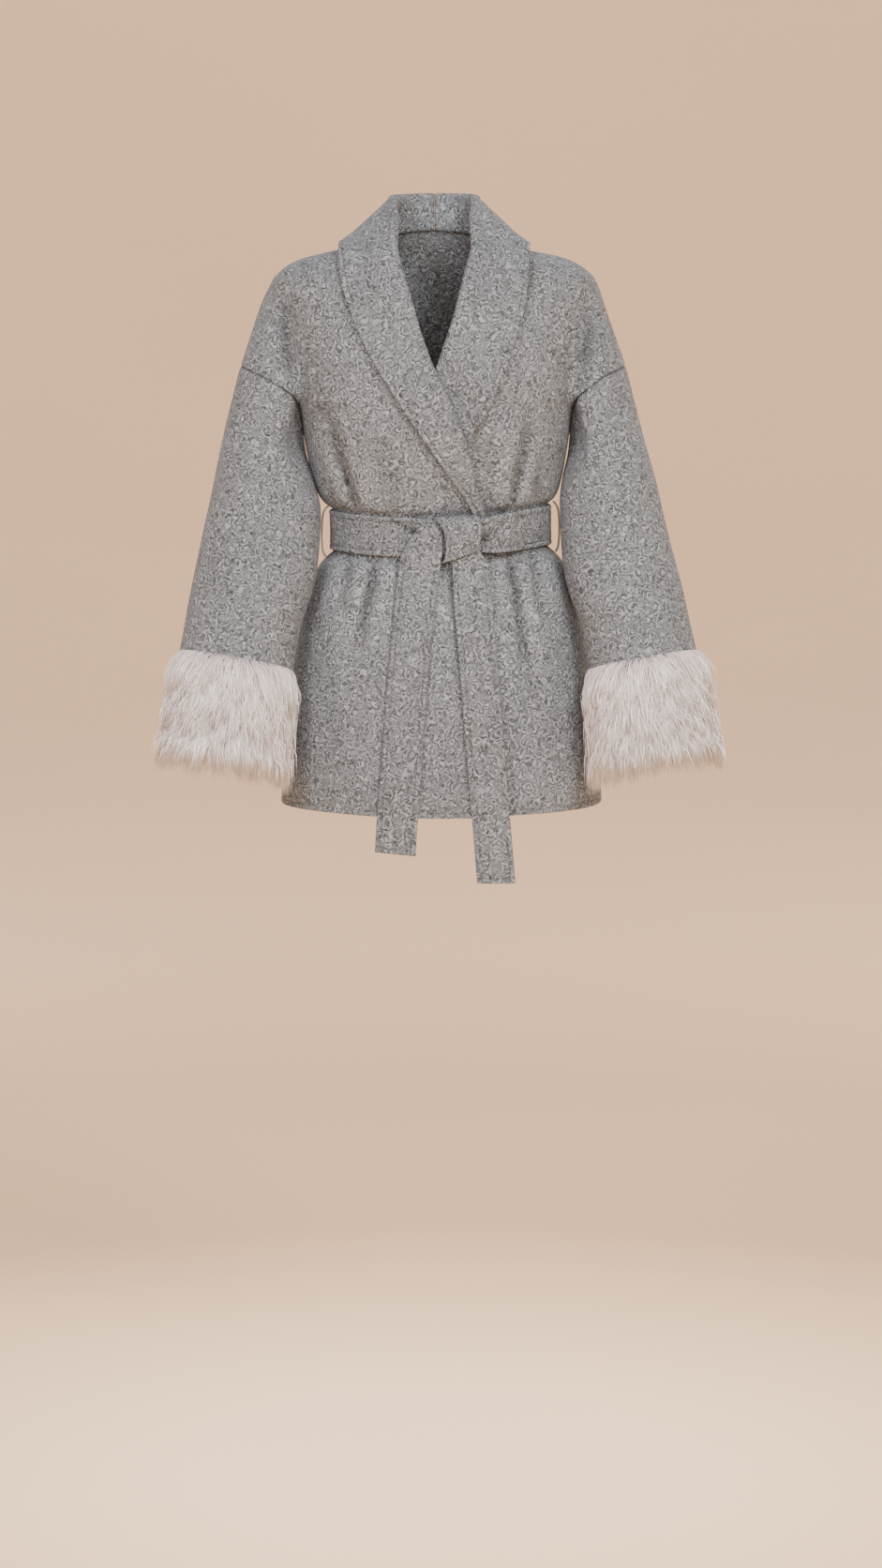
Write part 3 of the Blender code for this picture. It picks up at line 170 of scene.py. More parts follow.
# Sizes in metres. Heights count from the middle between the two shoulder ends of the neck seam, and
# every piece is worked out from the same level sections, so that seams meet.
cloth = {
    "thickness": 0.0028,        # felted wool, one layer
    "seamGap": 0.0003,          # between two pieces that are sewn edge to edge
    "layerGap": 0.0006,         # between two layers that lie on each other
    "deepest": 0.48,            # share of the thickness that an edge may lose on one face
}
body = {
    "squareness": 2.25,         # exponent of the level sections, 2 is an ellipse
    "shoulderPoint": -0.150,    # highest point of the armhole seam, on the upper arm
    "underarm": -0.235,         # lowest point of the armhole seam
    "sleeveHead": -0.0484,      # below this height the shoulder's outline is the arm's
    "armFree": (-0.207, -0.186),    # between these heights the panels let go of the upper arm
    "armMiddle": (0.10, 0.19),  # between these widths the form turns from the torso's middle to the arm's
    "armBlend": 8,              # how tightly torso and arm are joined, higher is tighter
    "armholeLean": (0.168, 0.215),  # between these widths the armhole comes to follow the coat's lean
    "hemSide": -0.6805,         # height of the hem at the sides
    "hemDrop": 0.0040,          # the hem is lower at centre front and centre back
    "hemFade": 0.12,            # height over which that drop fades out
    "hemHalf": 0.19,            # distance from the centre at which the hem is at its side height
    "seamTilt": 0.20,           # upward lean of the armhole seam's normals
    "seamTurn": (-0.232, -0.165),   # below these heights they point down, into the underarm
    "frontCells": 60,           # cells across a front, and along each shoulder seam
    "neckCells": 16,            # cells along each half of the back neck
    "armholeCells": 40,         # cells of the sleeve in half a turn, and of each panel along the armhole
    "rowFan": 1.6,              # how the panels' rows close up towards the shoulder
    "lineSteps": 400,           # points on which the shoulder's and the armhole's lines are measured
    "levelCells": 4,            # rows of cells between two of these levels
    "levels": (-0.630, -0.580, -0.530, -0.480, -0.440, -0.410, -0.392, -0.380, -0.3695, -0.345, -0.3205, -0.312,
               -0.300, -0.270),
}
bodyKnots = (body["hemSide"], *body["levels"], body["underarm"])
bodyLevels = np.interp(np.arange(body["levelCells"] * (len(bodyKnots) - 1) + 1) / body["levelCells"],
                       np.arange(len(bodyKnots)), bodyKnots)
bodyRows = len(bodyLevels)


def table(columns, *rows):
    return {name: np.array(values, float) for name, values in zip(columns.split(), zip(*rows))}


# Level sections of the body of the coat. The widths of the shoulder slope are in here as well.
torsoTable = table(
    "height halfWidth front back",
    (-0.800, 0.1990, 0.1490, 0.1440),
    (-0.684, 0.1965, 0.1480, 0.1430),
    (-0.600, 0.1900, 0.1425, 0.1380),
    (-0.515, 0.1814, 0.1340, 0.1285),
    (-0.4715, 0.1746, 0.1275, 0.1215),
    (-0.4348, 0.1665, 0.1200, 0.1145),
    (-0.406, 0.1562, 0.1120, 0.1075),
    (-0.391, 0.1490, 0.1070, 0.1030),
    (-0.379, 0.1385, 0.1020, 0.0985),
    (-0.371, 0.1305, 0.0975, 0.0930),
    (-0.345, 0.1292, 0.0965, 0.0920),
    (-0.320, 0.1303, 0.0985, 0.0930),
    (-0.313, 0.1385, 0.1030, 0.0975),
    (-0.302, 0.1455, 0.1065, 0.1005),
    (-0.286, 0.1505, 0.1110, 0.1030),
    (-0.252, 0.1575, 0.1195, 0.1085),
    (-0.218, 0.1630, 0.1240, 0.1125),
    (-0.184, 0.1690, 0.1235, 0.1145),
    (-0.150, 0.1735, 0.1200, 0.1145),
    (-0.116, 0.1800, 0.1115, 0.1110),
    (-0.0822, 0.1900, 0.1000, 0.1040),
    (-0.065, 0.1965, 0.0925, 0.0990),
    (-0.0484, 0.1967, 0.0840, 0.0930),
    (-0.0405, 0.1910, 0.0795, 0.0895),
    (-0.0315, 0.1797, 0.0745, 0.0855),
    (-0.0225, 0.1621, 0.0695, 0.0810),
    (-0.0135, 0.1314, 0.0640, 0.0765),
    (-0.0098, 0.1100, 0.0620, 0.0745),
    (-0.0055, 0.0900, 0.0590, 0.0720),
    (-0.001, 0.0725, 0.0560, 0.0695),
    (0.009, 0.0600, 0.0500, 0.0640),
    (0.014, 0.0520, 0.0470, 0.0605),
    (0.030, 0.0380, 0.0400, 0.0480),
    (0.080, 0.0200, 0.0200, 0.0250),
)

# Level sections of the sleeve and of the part of the panels that drapes over the upper arm.
armTable = table(
    "height outer inner midY halfDepth",
    (-0.700, 0.3450, 0.1900, -0.130, 0.0600),
    (-0.520, 0.3165, 0.1785, -0.091, 0.0610),
    (-0.492, 0.3116, 0.1745, -0.084, 0.0615),
    (-0.458, 0.3045, 0.1680, -0.075, 0.0620),
    (-0.438, 0.3005, 0.1610, -0.070, 0.0625),
    (-0.423, 0.2974, 0.1555, -0.066, 0.0625),
    (-0.389, 0.2897, 0.1480, -0.057, 0.0625),
    (-0.355, 0.2815, 0.1455, -0.049, 0.0615),
    (-0.320, 0.2739, 0.1445, -0.042, 0.0600),
    (-0.286, 0.2668, 0.1502, -0.035, 0.0590),
    (-0.252, 0.2586, 0.1588, -0.026, 0.0580),
    (-0.235, 0.2545, 0.1603, -0.019, 0.0580),
    (-0.218, 0.2505, 0.1560, -0.016, 0.0580),
    (-0.184, 0.2417, 0.1490, -0.011, 0.0575),
    (-0.150, 0.2330, 0.1430, -0.006, 0.0560),
    (-0.116, 0.2220, 0.1340, -0.003, 0.0530),
    (-0.0822, 0.2105, 0.1230, 0.0, 0.0470),
    (-0.0653, 0.2045, 0.1180, 0.0, 0.0400),
    (-0.0484, 0.1967, 0.1130, 0.0, 0.0250),
    (-0.0405, 0.1910, 0.1100, 0.0, 0.0100),
    (-0.0315, 0.1797, 0.1000, 0.0, 0.0),
)

# The whole coat leans a few millimetres to one side: shift of the torso and of the sleeves' outer line.
swayTable = table(
    "height torso sleeve",
    (-0.800, 0.0040, 0.0045),
    (-0.570, 0.0040, 0.0045),
    (-0.490, 0.0040, 0.0005),
    (-0.420, 0.0040, -0.0010),
    (-0.330, 0.0035, -0.0030),
    (-0.290, 0.0000, -0.0035),
    (-0.200, -0.0020, -0.0055),
    (-0.080, -0.0035, -0.0055),
    (-0.0484, -0.0045, -0.0045),
    (0.080, -0.0040, -0.0040),
)

def smooth(stations, values, at):
    # a curve through the stations that never swings past them
    if stations[0] > stations[-1]:
        stations, values = stations[::-1], values[::-1]
    step = np.diff(stations)
    rise = np.diff(values) / step
    slope = np.zeros(len(values))
    before, after = 2 * step[1:] + step[:-1], step[1:] + 2 * step[:-1]
    with np.errstate(divide="ignore", invalid="ignore"):
        mean = (before + after) / (before / rise[:-1] + after / rise[1:])
    slope[1:-1] = np.where(rise[:-1] * rise[1:] > 0, mean, 0.0)
    slope[0], slope[-1] = rise[0], rise[-1]
    at = np.clip(at, stations[0], stations[-1])
    k = np.clip(np.searchsorted(stations, at) - 1, 0, len(step) - 1)
    t = (at - stations[k]) / step[k]
    return (
        values[k] * (1 + 2 * t) * (1 - t) ** 2
        + step[k] * slope[k] * t * (1 - t) ** 2
        + values[k + 1] * t * t * (3 - 2 * t)
        + step[k] * slope[k + 1] * t * t * (t - 1)
    )


def read(source, column, height):
    return smooth(source["height"], source[column], np.asarray(height, float))


def along(source, column, share):
    rows = np.linspace(0.0, 1.0, len(source[column]))
    return smooth(rows, source[column], np.asarray(share, float))


def ease(low, high, value):
    t = np.clip((value - low) / (high - low), 0.0, 1.0)
    return t * t * (3 - 2 * t)


belt = {
    "middle": -0.345,           # height of the belt's middle line, the waist
    "width": 0.048,
    "thickness": 0.0042,        # two layers and their turnings
    "tilt": 0.025,              # rise towards the wearer's left, per metre
    "levelPast": 0.12,          # past this distance from the centre the belt runs level
    "sag": 0.0065,              # drop at the centre front
    "sectionFade": (0.05, 0.11),    # over these distances the level sections stop following the belt's line
    "seamFade": (0.045, 0.115),     # over these distances seams and rows of cells stop following it
    "lift": 0.0010,             # between the belt and the cloth it lies on
    "bump": 0.0074,             # it stands this much further off where the collar's ends lie beneath
    "bumpRight": (-0.040, -0.012),  # where that sets in and ends, from the wearer's right to the left
    "bumpLeft": (0.070, 0.105),
    "pinch": 0.30,              # share by which it narrows beside the knot
    "pinchReach": 0.024,
    "columns": 240,
    "rows": 15,
}


def beltRise(x, face):
    across = np.clip(x / belt["levelPast"], -1, 1)
    sag = belt["sag"] if face < 0 else 0.0
    return belt["tilt"] * belt["levelPast"] * across - sag * (1 - across**2)


def atWaist(x, z, face):
    # the level section that a point belongs to, since the belt's line rises and sags
    return z - beltRise(x, face) * (1 - ease(*belt["sectionFade"], np.abs(z - belt["middle"])))


def withBelt(x, z, face):
    # seams and rows of cells go up and down with the belt
    return z + beltRise(x, face) * (1 - ease(*belt["seamFade"], np.abs(z - belt["middle"])))


def torsoDepth(u, z, side, face):
    level = atWaist(side * u, z, face)
    half = read(torsoTable, "halfWidth", level)
    depth = read(torsoTable, "front" if face < 0 else "back", level)
    share = np.clip(np.abs(u) / half, 0, 1)
    return depth * (1 - share**body["squareness"]) ** (1 / body["squareness"])


def outerLine(z, side):
    lean = read(swayTable, "sleeve", z) - read(swayTable, "torso", z)
    return read(armTable, "outer", z) + side * lean


def formY(u, z, side, face):
    # the coat's worn form: how far it stands forward or back at a width u on one side and a height z
    u, z = np.asarray(u, float), np.asarray(z, float)
    outer, inner = outerLine(z, side), read(armTable, "inner", z)
    across = np.clip(np.abs(2 * u - outer - inner) / (outer - inner), 0, 1)
    draped = ease(*body["armFree"], z)
    arm = read(armTable, "halfDepth", z) * np.sqrt(1 - across**2) * draped
    torso, blend = torsoDepth(u, z, side, face), body["armBlend"]
    height = (torso**blend + arm**blend) ** (1 / blend)
    middle = read(armTable, "midY", z) * draped * ease(*body["armMiddle"], u)
    return middle + face * height


def toWorld(u, y, z, side):
    return np.stack([side * u + read(swayTable, "torso", z), y, z], axis=-1)


def toWidth(points, side):
    return side * (points[..., 0] - read(swayTable, "torso", points[..., 2]))


lap = {                         # the left front lies beneath the right one
    "tuck": 0.0065,             # how deep, where no collar lies between
    "collarEnds": (-0.350, -0.334),     # over these heights the collar's two layers come in between
    "neckFade": (-0.10, -0.04),         # and over these they leave again
    "reach": (0.013, 0.052),    # past the right front's edge the left one comes up to its own level
}


def overlapDepth(u, z):
    # how much deeper the left front lies, so that it passes beneath the right one
    collars = collar["thickness"] + 2 * cloth["layerGap"] + read(collarRiseTable, "spacing", z)
    between = ease(*lap["collarEnds"], z) * (1 - ease(*lap["neckFade"], z))
    full = lap["tuck"] + (collars - lap["tuck"]) * between
    return full * (1 - ease(*lap["reach"], u + frontEdge(z)))


# Front edge of each front, below the collar. It passes the centre to the other side.
frontEdgeTable = table(
    "height x",
    (-0.684, -0.0720),
    (-0.600, -0.0680),
    (-0.520, -0.0645),
    (-0.420, -0.0590),
    (-0.365, -0.0560),
    (-0.330, -0.0520),
)


def frontEdge(z):
    seam = slice(neckRow, None)
    heights = np.concatenate([collarTable["seamHeight"][seam], frontEdgeTable["height"][::-1][1:]])
    edges = np.concatenate([collarTable["seamX"][seam], frontEdgeTable["x"][::-1][1:]])
    return smooth(heights, edges, np.asarray(z, float))


def frontNormal(u, z, side, tucked=True):
    step = 0.002

    def y(a, b):
        deep = overlapDepth(a, b) if side > 0 and tucked else 0.0
        return formY(a, b, side, -1) + deep

    across = (y(u + step, z) - y(u - step, z)) / (2 * step)
    up = (y(u, z + step) - y(u, z - step)) / (2 * step)
    return y(u, z), unit(np.stack([side * across, -np.ones_like(across), up], axis=-1))


def frontPoint(u, z, side, lift):
    # a point that lies on a front, lifted off it by so much
    u, z = np.asarray(u, float), np.asarray(z, float)
    y, normal = frontNormal(u, z, side)
    point = toWorld(u, y, z, side)
    return point + normal * (lift - foldDepth(point[..., 0], z, -1))[..., None]


evenOut = 0.012                 # height over which belt ends and knot even out the form beneath


def bellyPoint(x, z, lift):
    # a point before the front's evened-out form, for what hangs from the belt
    u = read(swayTable, "torso", z) - x
    near = [formY(u, z + step, -1, -1) for step in (-evenOut, 0.0, evenOut)]
    return np.stack([x, np.mean(near, axis=0) - lift, z], axis=-1)


def torsoDistance(points, side):
    # distance from the torso's sections, and the way that leads off them
    step = 0.0005

    def ratio(p):
        u = toWidth(p, side)
        depth = np.where(p[..., 1] < 0, read(torsoTable, "front", p[..., 2]), read(torsoTable, "back", p[..., 2]))
        half = read(torsoTable, "halfWidth", p[..., 2])
        parts = np.abs(u / half) ** body["squareness"] + np.abs(p[..., 1] / depth) ** body["squareness"]
        return parts ** (1 / body["squareness"])

    slope = np.stack([(ratio(points + step * way) - ratio(points - step * way)) / (2 * step)
                      for way in np.eye(3)], axis=-1)
    size = np.linalg.norm(slope, axis=-1)
    return (ratio(points) - 1) / size, slope / size[..., None]


foldShape = {
    "start": 0.016,             # distance from the belt over which a fold gains its depth
    "fadeFrom": 0.15,           # share of its length from which it fades
    "spread": 0.9,              # how much wider it is at its end, as a share
    "sharpness": 1.35,          # 2 is a round trough, 1 is a sharp one
    "ridge": 0.50,              # height of the two ridges beside it, as a share of its depth
    "ridgeWidth": 2.4,
    "drapeIn": (0.0, 0.40),     # shares of its length over which a crease below gains and loses its depth
    "drapeOut": (0.60, 1.0),
}

# Folds that run from the belt, on the front (-1) and on the back (1), up (1) or down (-1).
foldsTable = table(
    "face way x lean depth width length",
    (-1, -1, -0.1060, -0.14, 0.0120, 0.0060, 0.085),
    (-1, -1, -0.0745, -0.20, 0.0190, 0.0065, 0.150),
    (-1, -1, 0.0170, 0.11, 0.0060, 0.0120, 0.300),
    (-1, -1, 0.0850, 0.16, 0.0200, 0.0068, 0.210),
    (-1, -1, 0.1120, 0.18, 0.0120, 0.0062, 0.120),
    (-1, 1, -0.0960, -0.32, 0.0180, 0.0068, 0.150),
    (-1, 1, -0.0540, -0.05, 0.0045, 0.0110, 0.090),
    (-1, 1, 0.0890, 0.20, 0.0175, 0.0068, 0.150),
    (-1, 1, 0.1190, 0.05, 0.0085, 0.0068, 0.085),
    (1, -1, -0.1020, -0.18, 0.0055, 0.012, 0.120),
    (1, -1, -0.0560, -0.08, 0.0085, 0.013, 0.200),
    (1, -1, -0.0080, 0.03, 0.0060, 0.012, 0.140),
    (1, -1, 0.0430, 0.10, 0.0090, 0.013, 0.220),
    (1, -1, 0.0950, 0.17, 0.0055, 0.012, 0.110),
    (1, 1, -0.0900, -0.25, 0.0060, 0.012, 0.100),
    (1, 1, -0.0300, -0.06, 0.0045, 0.013, 0.130),
    (1, 1, 0.0200, 0.05, 0.0060, 0.012, 0.100),
    (1, 1, 0.0780, 0.22, 0.0065, 0.012, 0.120),
    (-1, -1, -0.1220, -0.30, 0.0022, 0.006, 0.045),
    (-1, -1, -0.0920, -0.10, 0.0018, 0.006, 0.038),
    (-1, -1, 0.0680, 0.06, 0.0022, 0.006, 0.050),
    (-1, -1, 0.1000, 0.26, 0.0020, 0.006, 0.040),
    (-1, 1, -0.1180, -0.30, 0.0024, 0.006, 0.040),
    (-1, 1, -0.0780, -0.16, 0.0022, 0.006, 0.034),
    (-1, 1, 0.0740, 0.05, 0.0018, 0.006, 0.036),
    (-1, 1, 0.1080, 0.26, 0.0026, 0.006, 0.046),
    (1, -1, -0.0790, -0.05, 0.0020, 0.006, 0.042),
    (1, -1, 0.0180, 0.04, 0.0022, 0.006, 0.050),
    (1, -1, 0.0700, 0.16, 0.0020, 0.006, 0.040),
    (1, 1, -0.0600, -0.10, 0.0022, 0.006, 0.040),
    (1, 1, 0.0460, 0.12, 0.0022, 0.006, 0.044),
    (1, 1, 0.1040, 0.26, 0.0024, 0.006, 0.040),
)

# Creases where the panels fall off the upper arm, from their upper end to their lower one.
drapeTable = table(
    "face fromX fromZ toX toZ depth width",
    (-1, -0.1890, -0.050, -0.1740, -0.182, 0.0070, 0.0095),
    (-1, 0.1850, -0.062, 0.1710, -0.182, 0.0052, 0.0095),
    (1, -0.1860, -0.060, -0.1720, -0.178, 0.0045, 0.0100),
    (1, 0.1870, -0.055, 0.1715, -0.178, 0.0050, 0.0100),
)


def foldDepth(x, z, face):
    depth = np.zeros_like(x)
    for k in np.nonzero(foldsTable["face"] == face)[0]:
        way = foldsTable["way"][k]
        edge = belt["middle"] + beltRise(x, face) + way * belt["width"] / 2
        run = way * (z - edge)
        share = run / foldsTable["length"][k]
        strength = ease(0.0, foldShape["start"], run) * (1 - ease(foldShape["fadeFrom"], 1.0, share))
        width = foldsTable["width"][k] * (1 + foldShape["spread"] * np.clip(share, 0, 1))
        across = (x - foldsTable["x"][k] - foldsTable["lean"][k] * np.clip(run, 0, None)) / width
        crease = np.exp(-(np.abs(across) ** foldShape["sharpness"]))
        crease = crease - foldShape["ridge"] * np.exp(-((across / foldShape["ridgeWidth"]) ** 2))
        depth += foldsTable["depth"][k] * strength * crease
    for k in np.nonzero(drapeTable["face"] == face)[0]:
        share = (drapeTable["fromZ"][k] - z) / (drapeTable["fromZ"][k] - drapeTable["toZ"][k])
        middle = drapeTable["fromX"][k] + (drapeTable["toX"][k] - drapeTable["fromX"][k]) * share
        crease = np.exp(-(np.abs((x - middle) / drapeTable["width"][k]) ** foldShape["sharpness"]))
        fade = 1 - ease(*foldShape["drapeOut"], share)
        depth += drapeTable["depth"][k] * crease * ease(*foldShape["drapeIn"], share) * fade
    return depth


def gridNormals(points, outward):
    down, across = np.gradient(points, axis=0), np.gradient(points, axis=1)
    normals = unit(np.cross(down, across))
    middle = tuple(n // 2 for n in points.shape[:2])
    return normals * np.sign(np.dot(normals[middle], outward))


def meanWay(points, axis):
    steps = unit(np.diff(points, axis=axis))
    first, last = np.take(steps, [0], axis), np.take(steps, [-1], axis)
    return np.concatenate([first, steps], axis) + np.concatenate([steps, last], axis)


def pullBack(points, gap, row=None, column=None):
    # moves one border of a grid inwards, so that its seam has a gap
    grid, index = (points, row) if column is None else (np.swapaxes(points, 0, 1), column)
    grid[index] += unit(grid[1 if index == 0 else -2] - grid[index]) * gap


def ridgeLine(side):
    heights = np.linspace(collarTable["seamHeight"][neckRow], body["shoulderPoint"], body["lineSteps"])
    line = np.where(heights < body["sleeveHead"], outerLine(heights, side), read(torsoTable, "halfWidth", heights))
    length = np.concatenate([[0], np.cumsum(np.hypot(np.diff(line), np.diff(heights)))])
    where = np.linspace(0, length[-1], body["frontCells"] + 1)
    x, z = np.interp(where, length, line), np.interp(where, length, heights)
    x[0] = collarTable["seamX"][neckRow]
    return np.stack([x, z], axis=-1)


# Armhole seam from the shoulder point to the underarm, as seen from the front or the back.
armholeTable = table(
    "x height",
    (0.2330, -0.1500),
    (0.2235, -0.1538),
    (0.2075, -0.1605),
    (0.1935, -0.1690),
    (0.1805, -0.1775),
    (0.1690, -0.1885),
    (0.1640, -0.2050),
    (0.1620, -0.2210),
    (0.1603, -0.2350),
)


def armholeLine(side):
    share = np.linspace(0, 1, body["lineSteps"])
    x, z = along(armholeTable, "x", share), along(armholeTable, "height", share)
    lean = outerLine(body["shoulderPoint"], side) - armholeTable["x"][0]
    x = x + lean * ease(*body["armholeLean"], x)
    outer, inner = outerLine(z, side), read(armTable, "inner", z)
    turn = np.maximum.accumulate(np.arccos(np.clip((2 * x - outer - inner) / (outer - inner), -1, 1)))
    turn = (turn - turn[0]) / (turn[-1] - turn[0])
    even = np.linspace(1, 0, body["armholeCells"] + 1)
    points = np.stack([np.interp(even, turn, x), np.interp(even, turn, z)], axis=-1)
    points[0] = read(torsoTable, "halfWidth", body["underarm"]), body["underarm"]
    return points


def clothe(flat, side, face):
    # lays a flat grid of widths and heights on the coat's form, with its hem, lap and folds
    u, z = flat[..., 0], flat[..., 1]
    hem = 1 - ease(body["hemSide"], body["hemSide"] + body["hemFade"], z)
    z = z - body["hemDrop"] * hem * np.cos(0.5 * np.pi * np.clip(np.abs(u) / body["hemHalf"], 0, 1)) ** 2
    z = withBelt(side * u, z, face)
    tucked = overlapDepth(u, z) if side > 0 and face < 0 else 0.0
    y = formY(u, z, side, face) + tucked
    points = toWorld(u, y, z, side)
    normals = gridNormals(points, (0, face, 0))
    points = points - normals * foldDepth(points[..., 0], z, face)[..., None]
    return points, gridNormals(points, (0, face, 0))


def rowShares():
    return 1 - (1 - np.linspace(0, 1, body["armholeCells"] + 1)) ** body["rowFan"]


def startLine(side, top):
    # the border at which a panel's upper rows start: the neckline's edge, or the centre of the back
    z = body["underarm"] + (collarTable["seamHeight"][top] - body["underarm"]) * rowShares()
    return np.stack([frontEdge(z) if side else np.zeros(len(z)), z], axis=-1)


def frontGrid(side):
    half = read(torsoTable, "halfWidth", bodyLevels)[:, None]
    startAngle = np.arcsin(np.clip(frontEdge(bodyLevels)[:, None] / half, -1, 1))
    angle = startAngle + (np.pi / 2 - startAngle) * np.linspace(0, 1, body["frontCells"] + 1)[None, :]
    low = np.stack([half * np.sin(angle), np.broadcast_to(bodyLevels[:, None], angle.shape)], axis=-1)
    across = (low[-1, :, 0] - low[-1, 0, 0]) / (low[-1, -1, 0] - low[-1, 0, 0])
    high = fan(low[-1], ridgeLine(side), startLine(side, neckRow), armholeLine(side), across)
    points, normals = clothe(np.concatenate([low, high[1:]]), side, -1)
    settleSeams(points, normals, side, slice(None))
    normals[:, 0] = seamNormals(points[:, 0], side)
    pullBack(points, cloth["seamGap"] / 2, column=0)
    return points, normals


def fan(bottom, top, start, end, across):
    # fills the space between four border lines evenly
    s, t = across[None, :, None], rowShares()[:, None, None]
    flat = (1 - t) * bottom[None] + t * top[None]
    atStart = (1 - t) * bottom[0] + t * top[0]
    atEnd = (1 - t) * bottom[-1] + t * top[-1]
    return flat + (1 - s) * (start[:, None] - atStart) + s * (end[:, None] - atEnd)


def settleSeams(points, normals, side, shoulder):
    # walls meet squarely along the side, shoulder and armhole seams
    normals[:bodyRows, -1, 1] = 0
    normals[-1, shoulder, 1] = 0
    normals[:] = unit(normals)
    normals[bodyRows - 1:, -1] = armholeNormals(points[bodyRows - 1:, -1], side)
    normals[bodyRows:, -2] = unit(normals[bodyRows:, -2] + normals[bodyRows:, -1])
    pullBack(points, cloth["seamGap"] / 2, column=-1)
    pullBack(points, cloth["seamGap"] / 2, row=-1)


def armholeNormals(points, side):
    z, u = points[:, 2], toWidth(points, side)
    outer, inner = outerLine(z, side), read(armTable, "inner", z)
    half, depth = (outer - inner) / 2, read(armTable, "halfDepth", z)
    outX = np.maximum(u - (outer + inner) / 2, 0) / half**2
    outY = (points[:, 1] - read(armTable, "midY", z)) / depth**2
    out = unit(np.stack([side * outX, outY, np.zeros_like(z)], axis=-1))
    down = (1 - ease(*body["seamTurn"], z))[:, None]
    tilt = np.array([0.0, 0.0, body["seamTilt"]])
    normals = unit((out + tilt) * (1 - down) + np.array([0.0, 0.0, -1.0]) * down)
    run = unit(np.gradient(points, axis=0))
    run[[0, -1]] = 0.0, 1.0, 0.0
    return unit(normals - run * np.einsum("ij,ij->i", normals, run)[:, None])


def backGrid():
    halves = []
    for side in (-1, 1):
        angle = np.linspace(0, np.pi / 2, body["neckCells"] + body["frontCells"] + 1)[None, :]
        width = read(torsoTable, "halfWidth", bodyLevels)[:, None] * np.sin(angle)
        low = np.stack([width, np.broadcast_to(bodyLevels[:, None], width.shape)], axis=-1)
        rows = np.linspace(0, 1, neckRow + 1)
        neck = np.stack([smooth(rows, collarTable[name][:neckRow + 1], np.linspace(0, 1, body["neckCells"] + 1))
                         for name in ("seamX", "seamHeight")], axis=-1)
        top = np.concatenate([neck, ridgeLine(side)[1:]])
        high = fan(low[-1], top, startLine(0, 0), armholeLine(side), width[-1] / width[-1, -1])
        points, normals = clothe(np.concatenate([low, high[1:]]), side, 1)
        normals[:, 0, 0] = 0
        settleSeams(points, normals, side, slice(body["neckCells"], None))
        normals[-1, :body["neckCells"] + 1] = seamNormals(points[-1, :body["neckCells"] + 1], side)
        halves.append((points, normals))
    right, left = halves
    return tuple(np.concatenate([r[:, :0:-1], l], axis=1) for r, l in zip(right, left))


sleeveCloth = {
    "rows": 66,
    "rowFan": 1.15,             # how the rows close up towards the armhole
    "seamFade": 0.30,           # share of the length over which the sleeve leaves the armhole's shape
    "creaseGap": 0.0010,        # between sleeve and panel in the deep crease of the underarm
    "creaseFade": (-0.190, -0.165),     # heights over which that gap closes
}
cuffSeam = {
    "height": -0.5070,          # middle of the seam between sleeve and cuff
    "axis": (0.1250, -0.1700, -0.9780),     # the way the forearm points
    "tilt": (0.1700, -0.1650),  # rise of the seam's plane along X and along Y
}


def sleeveGrid(side):
    line = armholeLine(side)
    front = np.linspace(np.pi, 0, body["armholeCells"] + 1)
    folded = np.concatenate([front, front[-2:0:-1]])
    face = np.concatenate([-np.ones(len(front)), np.ones(len(front) - 2)])
    seamFlat = np.concatenate([line, line[-2:0:-1]])
    seamU, seamZ = seamFlat[:, 0], seamFlat[:, 1]
    seamY = np.where(face < 0, formY(seamU, seamZ, side, -1), formY(seamU, seamZ, side, 1))
    seam = toWorld(seamU, seamY, seamZ, side)
    shoulder = body["armholeCells"]
    behind = armholeNormals(np.concatenate([seam[shoulder:], seam[:1]]), side)[1:-1]
    shared = np.concatenate([armholeNormals(seam[:shoulder + 1], side), behind])
    seam[:, 0] += side * sleeveCloth["creaseGap"] * (1 - ease(*sleeveCloth["creaseFade"], seamZ))

    share = np.linspace(0, 1, sleeveCloth["rows"])[:, None] ** sleeveCloth["rowFan"]
    half = (read(armTable, "outer", cuffSeam["height"]) - read(armTable, "inner", cuffSeam["height"])) / 2
    lowU, lowY = half * np.cos(folded), face * read(armTable, "halfDepth", cuffSeam["height"]) * np.sin(folded)
    lowZ = cuffSeam["height"] + cuffSeam["tilt"][0] * lowU + cuffSeam["tilt"][1] * lowY
    z = seamZ[None, :] + (lowZ - seamZ)[None, :] * share
    outer, inner = outerLine(z, side), read(armTable, "inner", z)
    u = (outer + inner) / 2 + (outer - inner) / 2 * np.cos(folded)
    y = read(armTable, "midY", z) + face * read(armTable, "halfDepth", z) * np.sin(folded)
    points = toWorld(u, y, z, side)
    pull = 1 - ease(0.0, sleeveCloth["seamFade"], share)
    points = points + (seam - points[0])[None] * pull[..., None]

    ring = np.concatenate([points[:, -1:], points, points[:, :1]], axis=1)
    down, across = np.gradient(ring, axis=0)[:, 1:-1], np.gradient(ring, axis=1)[:, 1:-1]
    normals = unit(np.cross(down, across))
    normals *= np.sign(normals[sleeveCloth["rows"] // 2, shoulder, 0] * side)
    normals[0] = shared
    axis = unit(np.array(cuffSeam["axis"]) * (side, 1, 1))
    normals[-1] = unit(normals[-1] - np.outer(normals[-1] @ axis, axis))
    pullBack(points, cloth["seamGap"] / 2, row=0)
    return points, normals


def seamNormals(points, side):
    z, u = points[:, 2], toWidth(points, side)
    nearNeck = z > collarTable["seamHeight"][laidRow]
    normals = np.where(nearNeck[:, None], torsoDistance(points, side)[1],
                       frontNormal(u, z, side, tucked=False)[1])
    normals[u == 0, 0] = 0
    return unit(normals)


